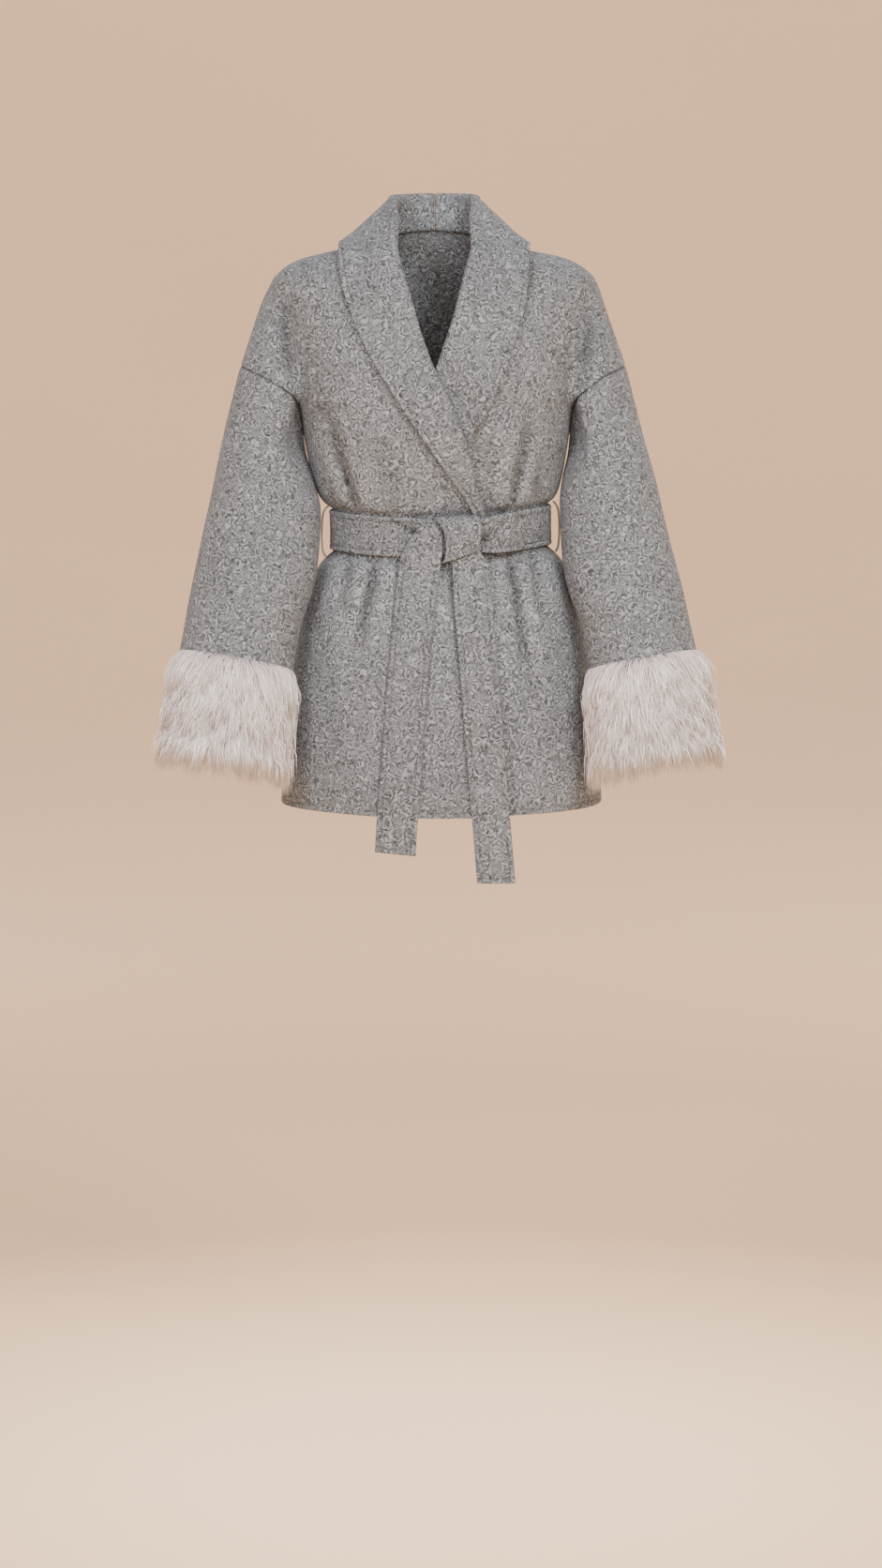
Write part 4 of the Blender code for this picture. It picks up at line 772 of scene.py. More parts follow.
collar = {
    "thickness": 0.0042,        # two layers sewn together
    "fallGap": 0.0022,          # between the fall and the cloth it lies on
    "rollReach": 0.018,         # how far from its roll the fall comes to lie on the front
    "fallBulge": 0.0020,        # how far the fall rounds out between the roll and the shoulder
    "rows": 150,
    "standCells": 8,            # cells from the neck seam up to the roll
    "rollPoints": 13,           # points round the roll
    "fallCells": 26,            # cells from the roll to the edge
    "edgeLift": 0.0028,         # the edge stands off the coat, less and less towards the belt
    "edgeReach": 0.013,
    "edgeFade": (0.03, 0.09),   # between these heights over the belt's middle
}

# Collar, a row for each section from the centre back to the belt: the roll line (x, y, height; the
# rows with no y lie on the front), the neck seam (x, height), and the outer edge of the collar that
# laps on top and of the one beneath (x, height).
onFront = math.nan
collarTable = table(
    "rollX rollY rollHeight seamX seamHeight topX topHeight underX underHeight",
    (0.0000, 0.0660, 0.0580, 0.0000, 0.0140, 0.0000, -0.0300, 0.0000, -0.0300),
    (0.0240, 0.0610, 0.0580, 0.0260, 0.0125, 0.0420, -0.0280, 0.0420, -0.0280),
    (0.0420, 0.0430, 0.0570, 0.0480, 0.0090, 0.0820, -0.0215, 0.0820, -0.0215),
    (0.0500, 0.0190, 0.0555, 0.0640, 0.0040, 0.1060, -0.0145, 0.1060, -0.0145),
    (0.0510, -0.0010, 0.0505, 0.0725, -0.0010, 0.1120, -0.0102, 0.1120, -0.0102),
    (0.0490, -0.0240, 0.0370, 0.0710, -0.0050, 0.1128, -0.0135, 0.1128, -0.0135),
    (0.0475, -0.0435, 0.0180, 0.0660, -0.0120, 0.1125, -0.0200, 0.1130, -0.0200),
    (0.0450, -0.0580, -0.0030, 0.0580, -0.0245, 0.1115, -0.0310, 0.1120, -0.0310),
    (0.0405, onFront, -0.0223, 0.0500, -0.0400, 0.1098, -0.0460, 0.1110, -0.0470),
    (0.0345, onFront, -0.0450, 0.0440, -0.0560, 0.1050, -0.0670, 0.1080, -0.0690),
    (0.0270, onFront, -0.0720, 0.0370, -0.0790, 0.0950, -0.0960, 0.1000, -0.0985),
    (0.0165, onFront, -0.1070, 0.0265, -0.1110, 0.0800, -0.1295, 0.0890, -0.1320),
    (0.0035, onFront, -0.1420, 0.0140, -0.1460, 0.0590, -0.1660, 0.0740, -0.1680),
    (-0.0135, onFront, -0.1800, -0.0030, -0.1840, 0.0370, -0.2010, 0.0600, -0.2030),
    (-0.0275, onFront, -0.2150, -0.0170, -0.2190, 0.0150, -0.2340, 0.0400, -0.2360),
    (-0.0385, onFront, -0.2550, -0.0285, -0.2580, -0.0080, -0.2690, 0.0120, -0.2710),
    (-0.0465, onFront, -0.2930, -0.0385, -0.2945, -0.0280, -0.3000, -0.0180, -0.3010),
    (-0.0550, onFront, -0.3290, -0.0470, -0.3290, -0.0420, -0.3300, -0.0420, -0.3300),
)
neckRow = 4                     # row of the collar table at the shoulder seam
standRow = 6                    # down to this row the collar stands on the neck seam
laidRow = 8                     # from this row on it lies on the front

# How far apart the collar's two folded layers stand at the roll line.
collarRiseTable = table(
    "height spacing",
    (-0.330, 0.0064),
    (-0.290, 0.0068),
    (-0.200, 0.0076),
    (-0.100, 0.0084),
    (0.0, 0.0092),
    (0.060, 0.0092),
)


def collarGrid(side):
    # from the neck seam up to the roll, round it, and down to the edge
    last = len(collarTable["rollX"]) - 1
    rows = np.linspace(0, last, collar["rows"])
    share = rows / last
    behind = rows < neckRow
    halfWool = collar["thickness"] / 2

    spacing = read(collarRiseTable, "spacing", collarTable["rollHeight"])
    laid = frontPoint(collarTable["rollX"], collarTable["rollHeight"], side, spacing / 2 - halfWool)
    stood = toWorld(collarTable["rollX"], collarTable["rollY"], collarTable["rollHeight"], side)
    knots = np.where(np.isnan(collarTable["rollY"])[:, None], laid, stood)
    places = np.arange(last + 1.0)
    roll = np.stack([smooth(places, knots[:, k], rows) for k in range(3)], axis=-1)
    run = unit(np.gradient(roll, rows, axis=0))
    run[0] = side, 0, 0

    facing = frontNormal(toWidth(roll, side), np.minimum(roll[:, 2], collarTable["seamHeight"][neckRow]), side)[1]
    level = unit(side * np.stack([-run[:, 1], run[:, 0], np.zeros(len(rows))], axis=-1))
    turned = ease(neckRow + 1, laidRow + 1, rows)[:, None]
    out = level * (1 - turned) + facing * turned
    out = unit(out - run * np.einsum("ij,ij->i", out, run)[:, None])
    up = side * np.cross(run, out)
    radius = read(collarRiseTable, "spacing", roll[:, 2])[:, None] / 2
    centre = roll - up * (radius + halfWool)
    arc = np.linspace(0, np.pi, collar["rollPoints"])[None, :, None]
    around = centre[:, None] + radius[:, None] * (up[:, None] * np.sin(arc) - out[:, None] * np.cos(arc))

    seamZ = along(collarTable, "seamHeight", share)
    seamU = np.where(behind, along(collarTable, "seamX", share), frontEdge(seamZ))
    seamZ = np.where(behind, seamZ, withBelt(side * seamU, seamZ, -1))
    seamBack = toWorld(seamU, formY(seamU, seamZ, side, 1), seamZ, side)
    seam = np.where(behind[:, None], seamBack, frontPoint(seamU, seamZ, side, 0.0))
    seamOut = seamNormals(seam, side)
    seam = seam - seamOut * halfWool
    risen = np.linspace(0, 1, collar["standCells"] + 1)[:-1]
    rise = risen[None, :, None]
    stand = seam[:, None] * (1 - rise) + around[:, :1] * rise

    edge = "top" if side < 0 else "under"
    edgeU, edgeZ = along(collarTable, edge + "X", share), along(collarTable, edge + "Height", share)
    edgeBack = toWorld(edgeU, formY(edgeU, edgeZ, side, 1), edgeZ, side)
    rim = np.where(behind[:, None], edgeBack, frontPoint(edgeU, edgeZ, side, 0.0))
    low = collar["fallGap"] + halfWool
    rim = rim + torsoDistance(rim, side)[1] * low
    fall = np.linspace(0, 1, collar["fallCells"] + 1)[1:]
    way = fall[None, :, None]
    hung = around[:, -1:] * (1 - way) + rim[:, None] * way
    hung = hung + out[:, None] * collar["fallBulge"] * 4 * way * (1 - way)
    for _ in range(4):          # pushed out until it clears the shoulder
        distance, outward = torsoDistance(hung, side)
        hung = hung + outward * np.maximum(low - distance, 0)[..., None]
    centreU = toWidth(centre, side)
    fallU = centreU[:, None] + (edgeU - centreU)[:, None] * fall
    fallZ = centre[:, 2:] + (edgeZ - centre[:, 2])[:, None] * fall
    gone = np.hypot(edgeU - centreU, edgeZ - centre[:, 2])[:, None] * fall
    lift = low + (2 * radius - halfWool - low) * np.exp(-((gone / collar["rollReach"]) ** 2))
    lies = frontPoint(fallU, fallZ, side, lift)
    settled = ease(standRow, laidRow, rows)[:, None, None]
    fallen = hung * (1 - settled) + np.where(settled > 0, lies, 0.0) * settled

    points = np.concatenate([stand, around, fallen], axis=1)
    points[0, :, 0] = read(swayTable, "torso", points[0, :, 2]) + side * cloth["seamGap"] / 2
    normals = unit(side * np.cross(meanWay(points, 0), meanWay(points, 1)))
    normals[0, :, 0] = 0
    normals = unit(normals)
    lowStand = ease(standRow, laidRow, rows)[:, None]
    for k, part in enumerate(risen):
        facing = -unit(seamOut * (1 - part) + out * part)
        normals[:, k] = unit(normals[:, k] * (1 - lowStand) + facing * lowStand)
    normals[:, 0] = -seamOut
    pullBack(points, cloth["seamGap"] / 2, column=0)
    return points, normals


def beltGrid():
    turn = np.linspace(0, 2 * np.pi, belt["columns"], endpoint=False)[None, :]
    across = np.linspace(-1, 1, belt["rows"])[:, None]
    power = 2 / body["squareness"]
    shape = np.sign(np.sin(turn)) * np.abs(np.sin(turn)) ** power
    face = np.where(np.cos(turn) > 0, -1, 1)
    inFront = face < 0
    x = read(torsoTable, "halfWidth", belt["middle"]) * shape + read(swayTable, "torso", belt["middle"])
    rise = np.where(inFront, beltRise(x, -1), beltRise(x, 1))
    pinch = belt["pinch"] * np.exp(-(((x - knotWrap["x"]) / belt["pinchReach"]) ** 2)) * inFront
    level = belt["middle"] + across * belt["width"] / 2 * (1 - pinch)
    depth = np.where(inFront, read(torsoTable, "front", level), read(torsoTable, "back", level))
    u = read(torsoTable, "halfWidth", level) * shape
    y = face * depth * np.abs(np.cos(turn)) ** power
    points = toWorld(u, y, level + rise, 1)
    ring = np.concatenate([points[:, -1:], points, points[:, :1]], axis=1)
    normals = unit(np.cross(meanWay(ring, 1), meanWay(ring, 0)))[:, 1:-1]
    normals *= np.sign(normals[1, 0] @ (0, -1, 0))
    bump = belt["bump"] * ease(*belt["bumpRight"], x) * (1 - ease(*belt["bumpLeft"], x)) * inFront
    return points + normals * (belt["lift"] + bump)[..., None], normals


def ribbon(source, rows, columns, lift):
    share = np.linspace(0, 1, rows)[:, None]
    side = np.linspace(0, 1, columns)[None, :]
    x, z = (along(source, f"left{name}", share) * (1 - side) + along(source, f"right{name}", share) * side
            for name in ("X", "Height"))
    return x, z, along(source, lift, share) + 0 * side, side


# The wrap of the knot from its upper edge to its lower one: its two sides, and how far its cloth
# stands off the belt.
knotTable = table(
    "leftX leftHeight rightX rightHeight stand",
    (-0.0040, -0.3285, 0.0430, -0.3255, 0.0024),
    (-0.0045, -0.3290, 0.0470, -0.3265, 0.0095),
    (0.0010, -0.3335, 0.0505, -0.3310, 0.0150),
    (0.0062, -0.3410, 0.0525, -0.3390, 0.0185),
    (0.0090, -0.3510, 0.0525, -0.3470, 0.0200),
    (0.0100, -0.3625, 0.0505, -0.3550, 0.0190),
    (0.0085, -0.3740, 0.0485, -0.3625, 0.0175),
    (0.0050, -0.3815, 0.0470, -0.3680, 0.0145),
)

knotWrap = {
    "x": 0.028,                 # the knot's middle
    "sink": 0.0035,             # how far the pulled knot presses into the belt beneath it
    "roundness": 0.0035,        # how much lower the two sides of the wrap are than its middle
    "rows": 60,
    "columns": 36,
}


def knotGrid():
    x, z, stand, side = ribbon(knotTable, knotWrap["rows"], knotWrap["columns"], "stand")
    rounded = knotWrap["roundness"] * (2 * side - 1) ** 2
    face = belt["lift"] + belt["bump"] + belt["thickness"] - knotWrap["sink"]
    points = bellyPoint(x, z, face + np.maximum(stand - rounded, belt["thickness"] / 2 + cloth["seamGap"]))
    normals = unit(np.cross(meanWay(points, 0), meanWay(points, 1)))
    middle = normals[knotWrap["rows"] // 2, knotWrap["columns"] // 2]
    return points, normals * np.sign(middle @ (0, -1, 0))


def cuffRings(side, gone, width, depth, turn):
    # points round the forearm, gone being the distance from the sleeve's end along it
    across, forth = width * np.cos(turn), depth * np.sin(turn)
    z = cuffSeam["height"] + cuffSeam["tilt"][0] * across + cuffSeam["tilt"][1] * forth
    u = (outerLine(z, side) + read(armTable, "inner", z)) / 2 + across
    points = toWorld(u, read(armTable, "midY", z) + forth, z, side)
    return points + np.asarray(gone)[..., None] * unit(np.array(cuffSeam["axis"]) * (side, 1, 1))


# Belt carrier: height over the middle of the belt, and reach from the torso's centre line.
loopTable = table(
    "height reach",
    (0.0275, 0.1365),
    (0.0250, 0.1394),
    (0.0200, 0.1422),
    (0.0080, 0.1440),
    (-0.0080, 0.1444),
    (-0.0200, 0.1440),
    (-0.0280, 0.1428),
    (-0.0335, 0.1402),
)

carrier = {"width": 0.012, "thickness": 0.0022, "rows": 60, "columns": 9}


def loopGrid(side):
    share = np.linspace(0, 1, carrier["rows"])[:, None]
    x = side * along(loopTable, "reach", share)
    z = belt["middle"] + beltRise(x, 1) + along(loopTable, "height", share)
    y = np.linspace(-carrier["width"] / 2, carrier["width"] / 2, carrier["columns"])[None, :] + 0 * share
    points = np.stack([x + read(swayTable, "torso", belt["middle"]) + 0 * y, y, z + 0 * y], axis=-1)
    return points, gridNormals(points, (side, 0, 0))


# the cloth is never quite even: a shallow relief that every piece shares, taken by place
relief = {"height": 0.00055, "waves": 14, "shortest": 0.045, "longest": 0.13, "slant": 0.55, "seed": 5}
reliefRandom = np.random.default_rng(relief["seed"])
waveLength = reliefRandom.uniform(relief["shortest"], relief["longest"], relief["waves"])
waveTurn = reliefRandom.uniform(0, 2 * np.pi, relief["waves"])
waveSlant = reliefRandom.uniform(-relief["slant"], relief["slant"], relief["waves"])
wavePhase = reliefRandom.uniform(0, 2 * np.pi, relief["waves"])
waveWay = np.stack([np.cos(waveTurn), np.sin(waveTurn), waveSlant], axis=-1) * (2 * np.pi / waveLength)[:, None]


def unevenness(points):
    waves = np.sin(points @ waveWay.T + wavePhase)
    return waves.sum(axis=-1) * relief["height"] / math.sqrt(relief["waves"])


# how a cloth's edges are finished: distances of the extra rows from the edge
edgeRows = {
    "plain": (0.0,),
    "seam": (0.0, 0.0004, 0.0010, 0.0018, 0.0030),
    "turned": (0.0, 0.0002, 0.0007, 0.0014, 0.0024, 0.0042, 0.0052, 0.0059, 0.0065, 0.0071, 0.0082),
}
# the stitching's two dark shares paint shade into the stitched channels and along the seams, by their depth
stitching = {"fromEdge": 0.0062, "depth": 0.0008, "width": 0.0011, "seamDepth": 0.0015, "seamWidth": 0.0036,
             "dark": 0.45, "paintedSeamShade": 0.85}
# how dark the wool is painted in folds, by their depth, with a painted highlight on the ridges beside them, and
# painted shadow along the belt's edges and under the collar's edge
paintedShading = {"foldDepth": 0.0075, "creaseDepth": 0.0045, "paintedRidgeLight": -0.25,
           "beltShadow": 0.55, "beltShadowReach": 0.0050, "collarDark": 0.60, "collarReach": 0.0060,
           "overBelt": (0.04, 0.06), "nearNeck": (-0.03, -0.02), "pastCentre": -0.01}


def addEdgeRows(points, normals, first, last):
    # adds close rows of cells at the first and the last border, and measures the distance to both
    steps = np.linalg.norm(np.diff(points, axis=0), axis=-1)
    length = np.concatenate([np.zeros((1, points.shape[1])), np.cumsum(steps, axis=0)])
    total = length[-1]
    start = np.array(edgeRows[first])[:, None] + 0 * total
    end = total - np.array(edgeRows[last])[::-1][:, None]
    room = (end[0] - start[-1]) / total
    where = np.concatenate([start, start[-1] + length[1:-1] * room, end])
    both = np.concatenate([points, normals], axis=-1)
    fresh = np.empty((len(where), points.shape[1], 6))
    for column in range(points.shape[1]):
        for k in range(6):
            fresh[:, column, k] = np.interp(where[:, column], length[:, column], both[:, column, k])
    return fresh[..., :3], unit(fresh[..., 3:]), where, total - where


def edgeDrop(distance, finish, thickness):
    # how far the outer and the inner face go in at this distance from the edge
    if finish == "seam":
        fade = np.clip(1 - distance / stitching["seamWidth"], 0, 1) ** 2
        return stitching["seamDepth"] * fade, 0 * fade
    if finish == "turned":
        bend = thickness / 2
        near = np.clip(distance / bend, 0.04, 1)        # the rim keeps a little of its width
        drop = bend * (1 - np.sqrt(1 - (1 - near) ** 2))
        channel = stitching["depth"] * np.exp(-(((distance - stitching["fromEdge"]) / stitching["width"]) ** 2))
        return drop + channel, drop
    return 0 * distance, 0 * distance


# painted shadow: a dark band along the belt's two edges and, on the front, along the collar's outer edge
def paintedContactShadow(x, z, face):
    edge = np.abs(z - belt["middle"] - beltRise(x, face)) - belt["width"] / 2
    mark = paintedShading["beltShadow"] * np.exp(-((edge / paintedShading["beltShadowReach"]) ** 2))
    if face < 0:
        heights, places = collarTable["topHeight"][standRow:], collarTable["topX"][standRow:]
        side = np.where(x < 0, -1, 1)
        away = side * x - np.interp(z, heights[::-1], places[::-1])
        fade = ease(*paintedShading["overBelt"], z - belt["middle"]) * (1 - ease(*paintedShading["nearNeck"], z))
        line = np.exp(-((away / paintedShading["collarReach"]) ** 2)) * (side * x > paintedShading["pastCentre"])
        mark = mark + paintedShading["collarDark"] * fade * line
    return mark


def makeCloth(name, grid, thickness, edges, material, closed=False, middle=False, shape=None, face=0):
    # edges are the finishes of the first row, last row, first column and last column; middle says that
    # the grid runs midway between the two faces, shape adds creases, face says which folds paint shade on it
    points, normals = grid
    if closed:
        points = np.concatenate([points, points[:, :1]], axis=1)
        normals = np.concatenate([normals, normals[:, :1]], axis=1)
    points, normals, fromTop, fromBottom = addEdgeRows(points, normals, edges[0], edges[1])
    if not closed:
        points, normals, fromStart, fromEnd = (np.swapaxes(a, 0, 1) for a in addEdgeRows(
            np.swapaxes(points, 0, 1), np.swapaxes(normals, 0, 1), edges[2], edges[3]))
        rowsSame = np.linspace(0, 1, fromTop.shape[1])
        columns = np.linspace(0, 1, points.shape[1])
        fromTop, fromBottom = (np.stack([np.interp(columns, rowsSame, row) for row in a])
                               for a in (fromTop, fromBottom))
    outDrop, inDrop, seamed = (np.zeros(points.shape[:2]) for _ in range(3))
    distances = (fromTop, fromBottom) if closed else (fromTop, fromBottom, fromStart, fromEnd)
    for distance, finish in zip(distances, edges):
        out, inward = edgeDrop(distance, finish, thickness)
        outDrop, inDrop = np.maximum(outDrop, out), np.maximum(inDrop, inward)
        if finish == "seam":
            seamed = np.maximum(seamed, out)
    moved = unevenness(points)[..., None]
    if shape:
        moved = moved + shape(points, None if closed else fromEnd)[..., None]
    # painted shade in the seams and stitched channels, by their depth
    paintedShade = np.where(seamed > 0, seamed / stitching["seamDepth"] * stitching["paintedSeamShade"],
                   np.clip((outDrop - inDrop) / stitching["depth"], 0, 1) * stitching["dark"])
    # painted shade in the belt's creases and in the folds by their depth, with a painted highlight on the ridges
    # beside the folds
    if shape:
        paintedShade += np.clip(-moved[..., 0] / paintedShading["creaseDepth"], 0, 1)
    if face:
        fold = foldDepth(points[..., 0], points[..., 2], face)
        paintedShade += np.clip(fold / paintedShading["foldDepth"], paintedShading["paintedRidgeLight"], 1)
        paintedShade += paintedContactShadow(points[..., 0], points[..., 2], face)
    upper = thickness / 2 if middle else 0.0
    outDrop, inDrop = (np.minimum(drop, cloth["deepest"] * thickness)[..., None] for drop in (outDrop, inDrop))
    outer = points + normals * (upper + moved - outDrop)
    inner = points + normals * (upper - thickness + moved + inDrop)
    return buildShell(name, outer, inner, material, closed, paintedShade)


def buildShell(name, outer, inner, material, closed, paintedShade=None):
    # a closed wall between two grids; its UV map has the cloth's own size, and each piece its own place
    rows, columns = outer.shape[:2]
    down = np.linalg.norm(np.diff(outer, axis=0), axis=-1)
    across = np.linalg.norm(np.diff(outer, axis=1), axis=-1)
    v = np.concatenate([np.zeros((1, columns)), np.cumsum(down, axis=0)])
    u = np.concatenate([np.zeros((rows, 1)), np.cumsum(across, axis=1)], axis=1)
    shift = (len(name) * 0.37 + ord(name[-2]) * 0.13, len(name) * 0.21 + ord(name[0]) * 0.17)
    innerShift, rimWidth = 0.31, 0.002
    flat = np.stack([u + shift[0], v + shift[1]], axis=-1)
    width = columns - 1 if closed else columns
    index = np.arange(rows)[:, None] * width + np.arange(columns)[None, :] % width
    count = rows * width
    corners = [(slice(0, -1), slice(0, -1)), (slice(0, -1), slice(1, None)),
               (slice(1, None), slice(1, None)), (slice(1, None), slice(0, -1))]
    outerFaces = np.stack([index[c] for c in corners], axis=-1).reshape(-1, 4)
    outerFlat = np.stack([flat[c] for c in corners], axis=-2).reshape(-1, 4, 2)
    faces = [outerFaces, outerFaces[:, ::-1] + count]
    flats = [outerFlat, outerFlat[:, ::-1] + innerShift]
    rims = [(index[0], flat[0], True), (index[-1], flat[-1], False)]
    if not closed:
        rims += [(index[:, 0], flat[:, 0], False), (index[:, -1], flat[:, -1], True)]
    for line, place, turned in rims:
        quad = np.stack([line[:-1], line[1:], line[1:] + count, line[:-1] + count], axis=-1)
        spot = np.stack([place[:-1], place[1:], place[1:] + rimWidth, place[:-1] + rimWidth], axis=-2)
        faces.append(quad[:, ::-1] if turned else quad)
        flats.append(spot[:, ::-1] if turned else spot)
    faces, flats = np.concatenate(faces), np.concatenate(flats)
    points = np.concatenate([outer[:, :width].reshape(-1, 3), inner[:, :width].reshape(-1, 3)])
    a, b, c, d = (points[faces[:, k]] for k in range(4))
    volume = np.einsum("ij,ij->i", a, np.cross(b, c) + np.cross(c, d)).sum()
    if volume < 0:
        faces, flats = faces[:, ::-1], flats[:, ::-1]
    piece = meshObject(name, points, faces, material, flats.reshape(-1, 2))
    # the painted shade is stored on the points, for the wool's material to darken it by
    if paintedShade is not None:
        shade = piece.data.attributes.new("paintedShade", "FLOAT", "POINT")
        shade.data.foreach_set("value", np.tile(paintedShade[:, :width].ravel(), 2).astype(np.float32))
    return piece


def meshObject(name, points, faces, material, flats=None):
    mesh = bpy.data.meshes.new(name)
    mesh.vertices.add(len(points))
    mesh.vertices.foreach_set("co", points.astype(np.float32).ravel())
    size = faces.shape[1]
    mesh.loops.add(faces.size)
    mesh.loops.foreach_set("vertex_index", faces.astype(np.int32).ravel())
    mesh.polygons.add(len(faces))
    mesh.polygons.foreach_set("loop_start", np.arange(0, faces.size, size, dtype=np.int32))
    mesh.update(calc_edges=True)
    mesh.validate()
    if flats is not None:
        layer = mesh.uv_layers.new(name="cloth")
        layer.data.foreach_set("uv", flats.astype(np.float32).ravel())
    mesh.shade_smooth()
    mesh.materials.append(material)
    piece = bpy.data.objects.new(name, mesh)
    scene.collection.objects.link(piece)
    return piece


def feltedWool():
    # boiled boucle wool: thick matt cloth whose looped yarns are felted flat and show as short curls;
    # the curls are drawn a little coarser than the real 3 mm so that they show from where the coat is seen
    curls = {
        "cluster": 0.0132, "spacing": 0.0044, "bend": 0.0080, "push": 0.0110, "shift": 0.613, "broken": 0.0090,
        "floor": -0.40, "fibre": 0.0012, "weave": 0.0024, "fleck": 0.0030, "cloud": 0.09,
        "curlShare": 0.51, "grainShare": 0.66, "level": -0.245, "paintedShadeStrength": 0.62,
        "darkYarn": "#202326", "paleYarn": "#8c9094", "fleckColour": "#37383a", "sheenColour": "#dcdde0",
    }
    material, tree, shader = startMaterial("feltedBoucleWool")
    # the pattern is read in space, so it isn't stretched where the cloth's grid fans out
    space = addNode(tree, "ShaderNodeTexCoord").outputs["Object"]
    bend, mask, fibre, weave, cloud = (
        addNode(tree, "ShaderNodeTexNoise", {"Vector": space, "Scale": 1 / curls[size], "Detail": detail})
        for size, detail in (("bend", 0.5), ("broken", 0.0), ("fibre", 2.0), ("weave", 1.0), ("cloud", 2.0)))
    push = addNode(tree, "ShaderNodeVectorMath", {0: bend.outputs["Color"], 1: (curls["push"],) * 3},
                   operation="MULTIPLY")
    place = addNode(tree, "ShaderNodeVectorMath", {0: space, 1: push}, operation="ADD")
    gaps, fleck = (
        addNode(tree, "ShaderNodeTexNoise", {"Vector": place, "Scale": 1 / curls[size], "Detail": detail})
        for size, detail in (("broken", 1.0), ("fleck", 0.0)))
    # two sets of curls lie over each other, and a soft mask shows now the one, now the other
    waves = []
    for shift in (0.0, curls["shift"]):
        spot = addNode(tree, "ShaderNodeVectorMath", {0: place, 1: (shift, shift, 0.0)}, operation="ADD")
        field = addNode(tree, "ShaderNodeTexVoronoi", {"Vector": spot, "Scale": 1 / curls["cluster"]},
                        voronoi_dimensions="3D")
        start = addNode(tree, "ShaderNodeSeparateColor", {"Color": field.outputs["Color"]})
        rings = addNode(tree, "ShaderNodeMath", {0: field, 1: 2 * math.pi * curls["cluster"] / curls["spacing"]},
                        operation="MULTIPLY")
        turns = addNode(tree, "ShaderNodeMath", {0: start, 1: 2 * math.pi, 2: rings}, operation="MULTIPLY_ADD")
        waves.append(addNode(tree, "ShaderNodeMath", {0: turns}, operation="SINE"))
    which = addNode(tree, "ShaderNodeMapRange", {"Value": mask, "From Min": 0.46, "From Max": 0.54})
    wave = addNode(tree, "ShaderNodeMix", {0: which, 2: waves[0], 3: waves[1]}, data_type="FLOAT")
    trimmed = addNode(tree, "ShaderNodeMath", {0: wave, 1: curls["floor"]}, operation="MAXIMUM")
    broken = addNode(tree, "ShaderNodeMapRange", {"Value": gaps, "From Min": 0.38, "From Max": 0.58, "To Min": 0.25})
    curl = addNode(tree, "ShaderNodeMath", {0: trimmed, 1: broken}, operation="MULTIPLY")
    # fine fibres and the loose weave beneath show between the curls
    grain = addNode(tree, "ShaderNodeMath", {0: fibre, 1: weave}, operation="ADD")
    level = addNode(tree, "ShaderNodeMath", {0: grain, 1: curls["grainShare"], 2: curls["level"]},
                    operation="MULTIPLY_ADD")
    mixed = addNode(tree, "ShaderNodeMath", {0: curl, 1: curls["curlShare"], 2: level}, operation="MULTIPLY_ADD")
    tone = addNode(tree, "ShaderNodeMix", {0: mixed, 6: toLinear(curls["darkYarn"]), 7: toLinear(curls["paleYarn"])},
                   data_type="RGBA")
    dark = addNode(tree, "ShaderNodeMapRange", {"Value": fleck, "From Min": 0.67, "From Max": 0.76, "To Max": 0.85})
    flecked = addNode(tree, "ShaderNodeMix", {0: dark, 6: tone, 7: toLinear(curls["fleckColour"])},
                      data_type="RGBA")
    shade = addNode(tree, "ShaderNodeMapRange", {"Value": cloud, "From Min": 0.3, "From Max": 0.7,
                                                 "To Min": 0.92, "To Max": 1.06})
    # painted shade: the wool is darkened in the creases, seams and stitched lines, and painted shadow lies along the
    # belt's edges and under the collar's edge
    paintedShade = addNode(tree, "ShaderNodeAttribute", attribute_name="paintedShade").outputs["Fac"]
    value = addNode(tree, "ShaderNodeMath", {0: paintedShade, 1: -curls["paintedShadeStrength"], 2: shade}, operation="MULTIPLY_ADD")
    final = addNode(tree, "ShaderNodeHueSaturation", {"Value": value, "Color": flecked})
    bump = addNode(tree, "ShaderNodeBump", {"Height": mixed, "Strength": 0.55, "Distance": 0.0009})
    setInputs(tree, shader, {"Base Color": final, "Normal": bump, "Roughness": 0.92, "Specular IOR Level": 0.25,
                             "Sheen Weight": 0.06, "Sheen Roughness": 0.55,
                             "Sheen Tint": toLinear(curls["sheenColour"])})
    return material


def wovenTape():
    # thin cotton tape of the carriers: smooth, slightly ribbed along its length
    tapeLook = {"rib": 0.0044, "low": "#85817e", "high": "#a6a19d"}
    material, tree, shader = startMaterial("wovenCottonTape")
    flat = addNode(tree, "ShaderNodeUVMap", uv_map="cloth")
    ribs = addNode(tree, "ShaderNodeTexWave", {"Vector": flat, "Scale": 1 / tapeLook["rib"],
                                               "Distortion": 0.6}).outputs["Fac"]
    tone = addNode(tree, "ShaderNodeMix", {0: ribs, 6: toLinear(tapeLook["low"]), 7: toLinear(tapeLook["high"])},
                   data_type="RGBA")
    bump = addNode(tree, "ShaderNodeBump", {"Height": ribs, "Strength": 0.4, "Distance": 0.0003})
    setInputs(tree, shader, {"Base Color": tone, "Normal": bump, "Roughness": 0.8})
    return material


def longHairFur():
    # long soft hair in locks: pale cool tips over a warmer, darker base; red holds a hair's tone, green
    # the way along it
    hairLook = {"darkTip": "#c6bbba", "paleTip": "#fffdfd", "root": "#bdb0ac", "rootReach": 0.55}
    material, tree, shader = startMaterial("longHairFur")
    shade = addNode(tree, "ShaderNodeAttribute", attribute_name="hairShade").outputs["Color"]
    parts = addNode(tree, "ShaderNodeSeparateColor", {"Color": shade})
    tip = addNode(tree, "ShaderNodeMix", {0: parts, 6: toLinear(hairLook["darkTip"]),
                                          7: toLinear(hairLook["paleTip"])}, data_type="RGBA")
    reach = addNode(tree, "ShaderNodeMapRange", {"Value": parts.outputs["Green"],
                                                 "From Max": hairLook["rootReach"]})
    final = addNode(tree, "ShaderNodeMix", {0: reach, 6: toLinear(hairLook["root"]), 7: tip}, data_type="RGBA")
    setInputs(tree, shader, {"Base Color": final, "Roughness": 0.5, "Specular IOR Level": 0.35, "Sheen Weight": 0.2})
    return material


